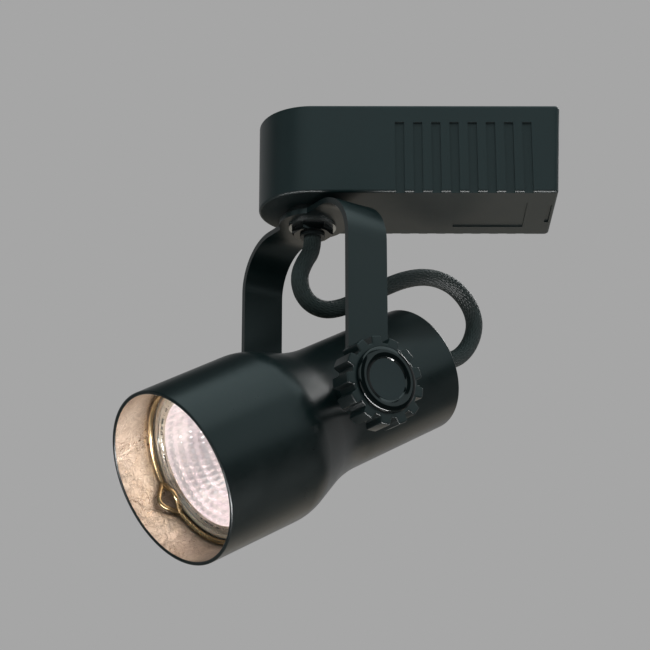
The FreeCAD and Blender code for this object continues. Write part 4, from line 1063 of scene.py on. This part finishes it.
# --- studio -------------------------------------------------------------------------------------
@dataclass(frozen=True)
class SoftBox:
    """A rectangular soft light: its middle and its aim in metres, its size and its radiance."""

    name: str
    middle: tuple
    aim: tuple
    width: float
    height: float
    radiance: float
    colour: str = "#ffffff"
    glints_only: bool = False

    def build(self) -> None:
        """Put the light in the scene; its power is radiance times pi times its area.

        A light for glints shows in reflections and adds nothing to matt shading.
        """
        light = bpy.data.lights.new(self.name, "AREA")
        light.shape = "RECTANGLE"
        light.size, light.size_y = self.width, self.height
        light.energy = self.radiance * math.pi * self.width * self.height
        light.color = linear(self.colour)[:3]
        holder = bpy.data.objects.new(self.name, light)
        bpy.context.scene.collection.objects.link(holder)
        holder.location = self.middle
        toward = Vector(self.aim) - Vector(self.middle)
        holder.rotation_euler = toward.to_track_quat("-Z", "Y").to_euler()
        holder.visible_diffuse = not self.glints_only


COOL = "#daf1f3"
WARM = "#f2e6d4"
BACKDROP_GREY = "#a6a6a6"


@dataclass(frozen=True)
class Studio:
    """The camera, the soft lights, the even backdrop and the pale floor, in metres."""

    camera_at: tuple = (0.00265, -0.65465, -0.31636)
    yaw: float = 0.131
    pitch: float = 20.573
    lens: float = 119.2
    sensor: float = 36.0
    floor: float = -0.62
    floor_half: float = 4.0
    bounce: float = 0.12
    lights: tuple = (
        SoftBox("overhead_softbox", (0.35, -0.25, 1.1), (0.0, 0.0, -0.05), 1.5, 1.3, 1.1, COOL),
        SoftBox("right_softbox", (1.25, -0.55, 0.52), (0.0, 0.0, -0.05), 1.0, 0.9, 0.7, COOL),
        SoftBox("front_softbox", (-0.2, -1.6, 0.55), (0.0, 0.0, -0.05), 1.8, 1.0, 0.82, COOL),
        SoftBox("left_softbox", (-1.4, -0.7, 0.4), (0.0, 0.0, -0.05), 0.8, 0.9, 0.4, COOL),
        SoftBox("low_back_card", (0.1, 1.0, -0.40), (0.0, 0.0, -0.1), 1.8, 0.40, 0.46, WARM),
        SoftBox("low_strip", (0.02, -0.19, -0.56), (0.0, 0.0, -0.03), 1.1, 0.06, 46.0,
                glints_only=True),
        SoftBox("rear_kicker", (0.68, 0.59, 0.70), (0.0, 0.0, -0.1), 0.36, 0.36, 12.0,
                glints_only=True),
        SoftBox("mouth_panel", (-0.62, -0.50, -0.42), (0.0, 0.0, -0.1), 0.5, 0.5, 0.5),
    )

    def build(self) -> None:
        """Set up the camera, the lights, the world and the floor."""
        scene = bpy.context.scene
        scene.view_settings.view_transform = "Standard"
        camera = bpy.data.cameras.new("camera")
        camera.lens, camera.sensor_width = self.lens, self.sensor
        camera.clip_start, camera.clip_end = 0.01, 50.0
        holder = bpy.data.objects.new("camera", camera)
        scene.collection.objects.link(holder)
        holder.location = self.camera_at
        holder.rotation_euler = (math.radians(90 + self.pitch), 0.0, math.radians(-self.yaw))
        scene.camera = holder
        for light in self.lights:
            light.build()
        self.backdrop(scene)
        half = self.floor_half
        corner = np.array([[-half, -half], [half, -half], [half, half], [-half, half]])
        mesh = bpy.data.meshes.new("floor")
        mesh.from_pydata([(x, y, self.floor) for x, y in corner], [], [(0, 1, 2, 3)])
        floor = bpy.data.objects.new("floor", mesh)
        scene.collection.objects.link(floor)
        mesh.materials.append(STUDIO_PAPER.dress())

    def backdrop(self, scene: bpy.types.Scene) -> None:
        """Light the world: an even grey behind the fixture, and a shaped grey for the rest.

        The camera sees one grey.  Every other ray sees that grey only in a band of the far wall
        from a little below the horizon to halfway up, and a dim share of it elsewhere.

        Args:
            scene: the scene that takes the world.
        """
        world = bpy.data.worlds.new("studio")
        scene.world = world
        world.use_nodes = True
        tree = world.node_tree
        tree.nodes.clear()
        seen = add(tree, "LightPath").outputs["Is Camera Ray"]
        grey = add(tree, "Background", Color=linear(BACKDROP_GREY), Strength=1.0)
        way = add(tree, "SeparateXYZ", Vector=add(tree, "TexCoord").outputs["Generated"])
        behind = add(tree, "MapRange", Value=way.outputs[1], From_Min=0.0, From_Max=0.3)
        above_floor = add(tree, "MapRange", Value=way.outputs[2], From_Min=-0.3, From_Max=-0.1)
        below_top = add(tree, "MapRange", Value=way.outputs[2], From_Min=0.75, From_Max=0.5)
        band = add(tree, "Math", {"operation": "MULTIPLY"}, in0=above_floor.outputs[0],
                   in1=below_top.outputs[0])
        wall = add(tree, "Math", {"operation": "MULTIPLY"}, in0=band.outputs[0],
                        in1=behind.outputs[0])
        strength = add(tree, "MapRange", Value=wall.outputs[0], To_Min=self.bounce, To_Max=1.0)
        dim = add(tree, "Background", Color=linear(BACKDROP_GREY), Strength=strength.outputs[0])
        both = add(tree, "MixShader", in0=seen, in1=dim.outputs[0], in2=grey.outputs[0])
        add(tree, "OutputWorld", Surface=both.outputs[0])


def main() -> None:
    """Load the CAD frame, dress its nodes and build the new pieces."""
    logging.basicConfig(level=logging.INFO, format="%(name)s: %(message)s")
    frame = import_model()
    frames = read_frames(frame["joints"])
    wardrobe = Wardrobe()
    Studio().build()
    BraidedCord().build(frames, wardrobe)
    for finish, names in NODE_FINISHES.items():
        for name in names:
            wardrobe.dress(frame["nodes"][name], finish)
            LOG.info("%s dressed in %s", name, finish.name)
    for part in (Shade(), ReflectorLamp(), WireRing(), LockingKnob("left"), LockingKnob("right")):
        part.build(frames, wardrobe)


if __name__ == "__main__":
    main()
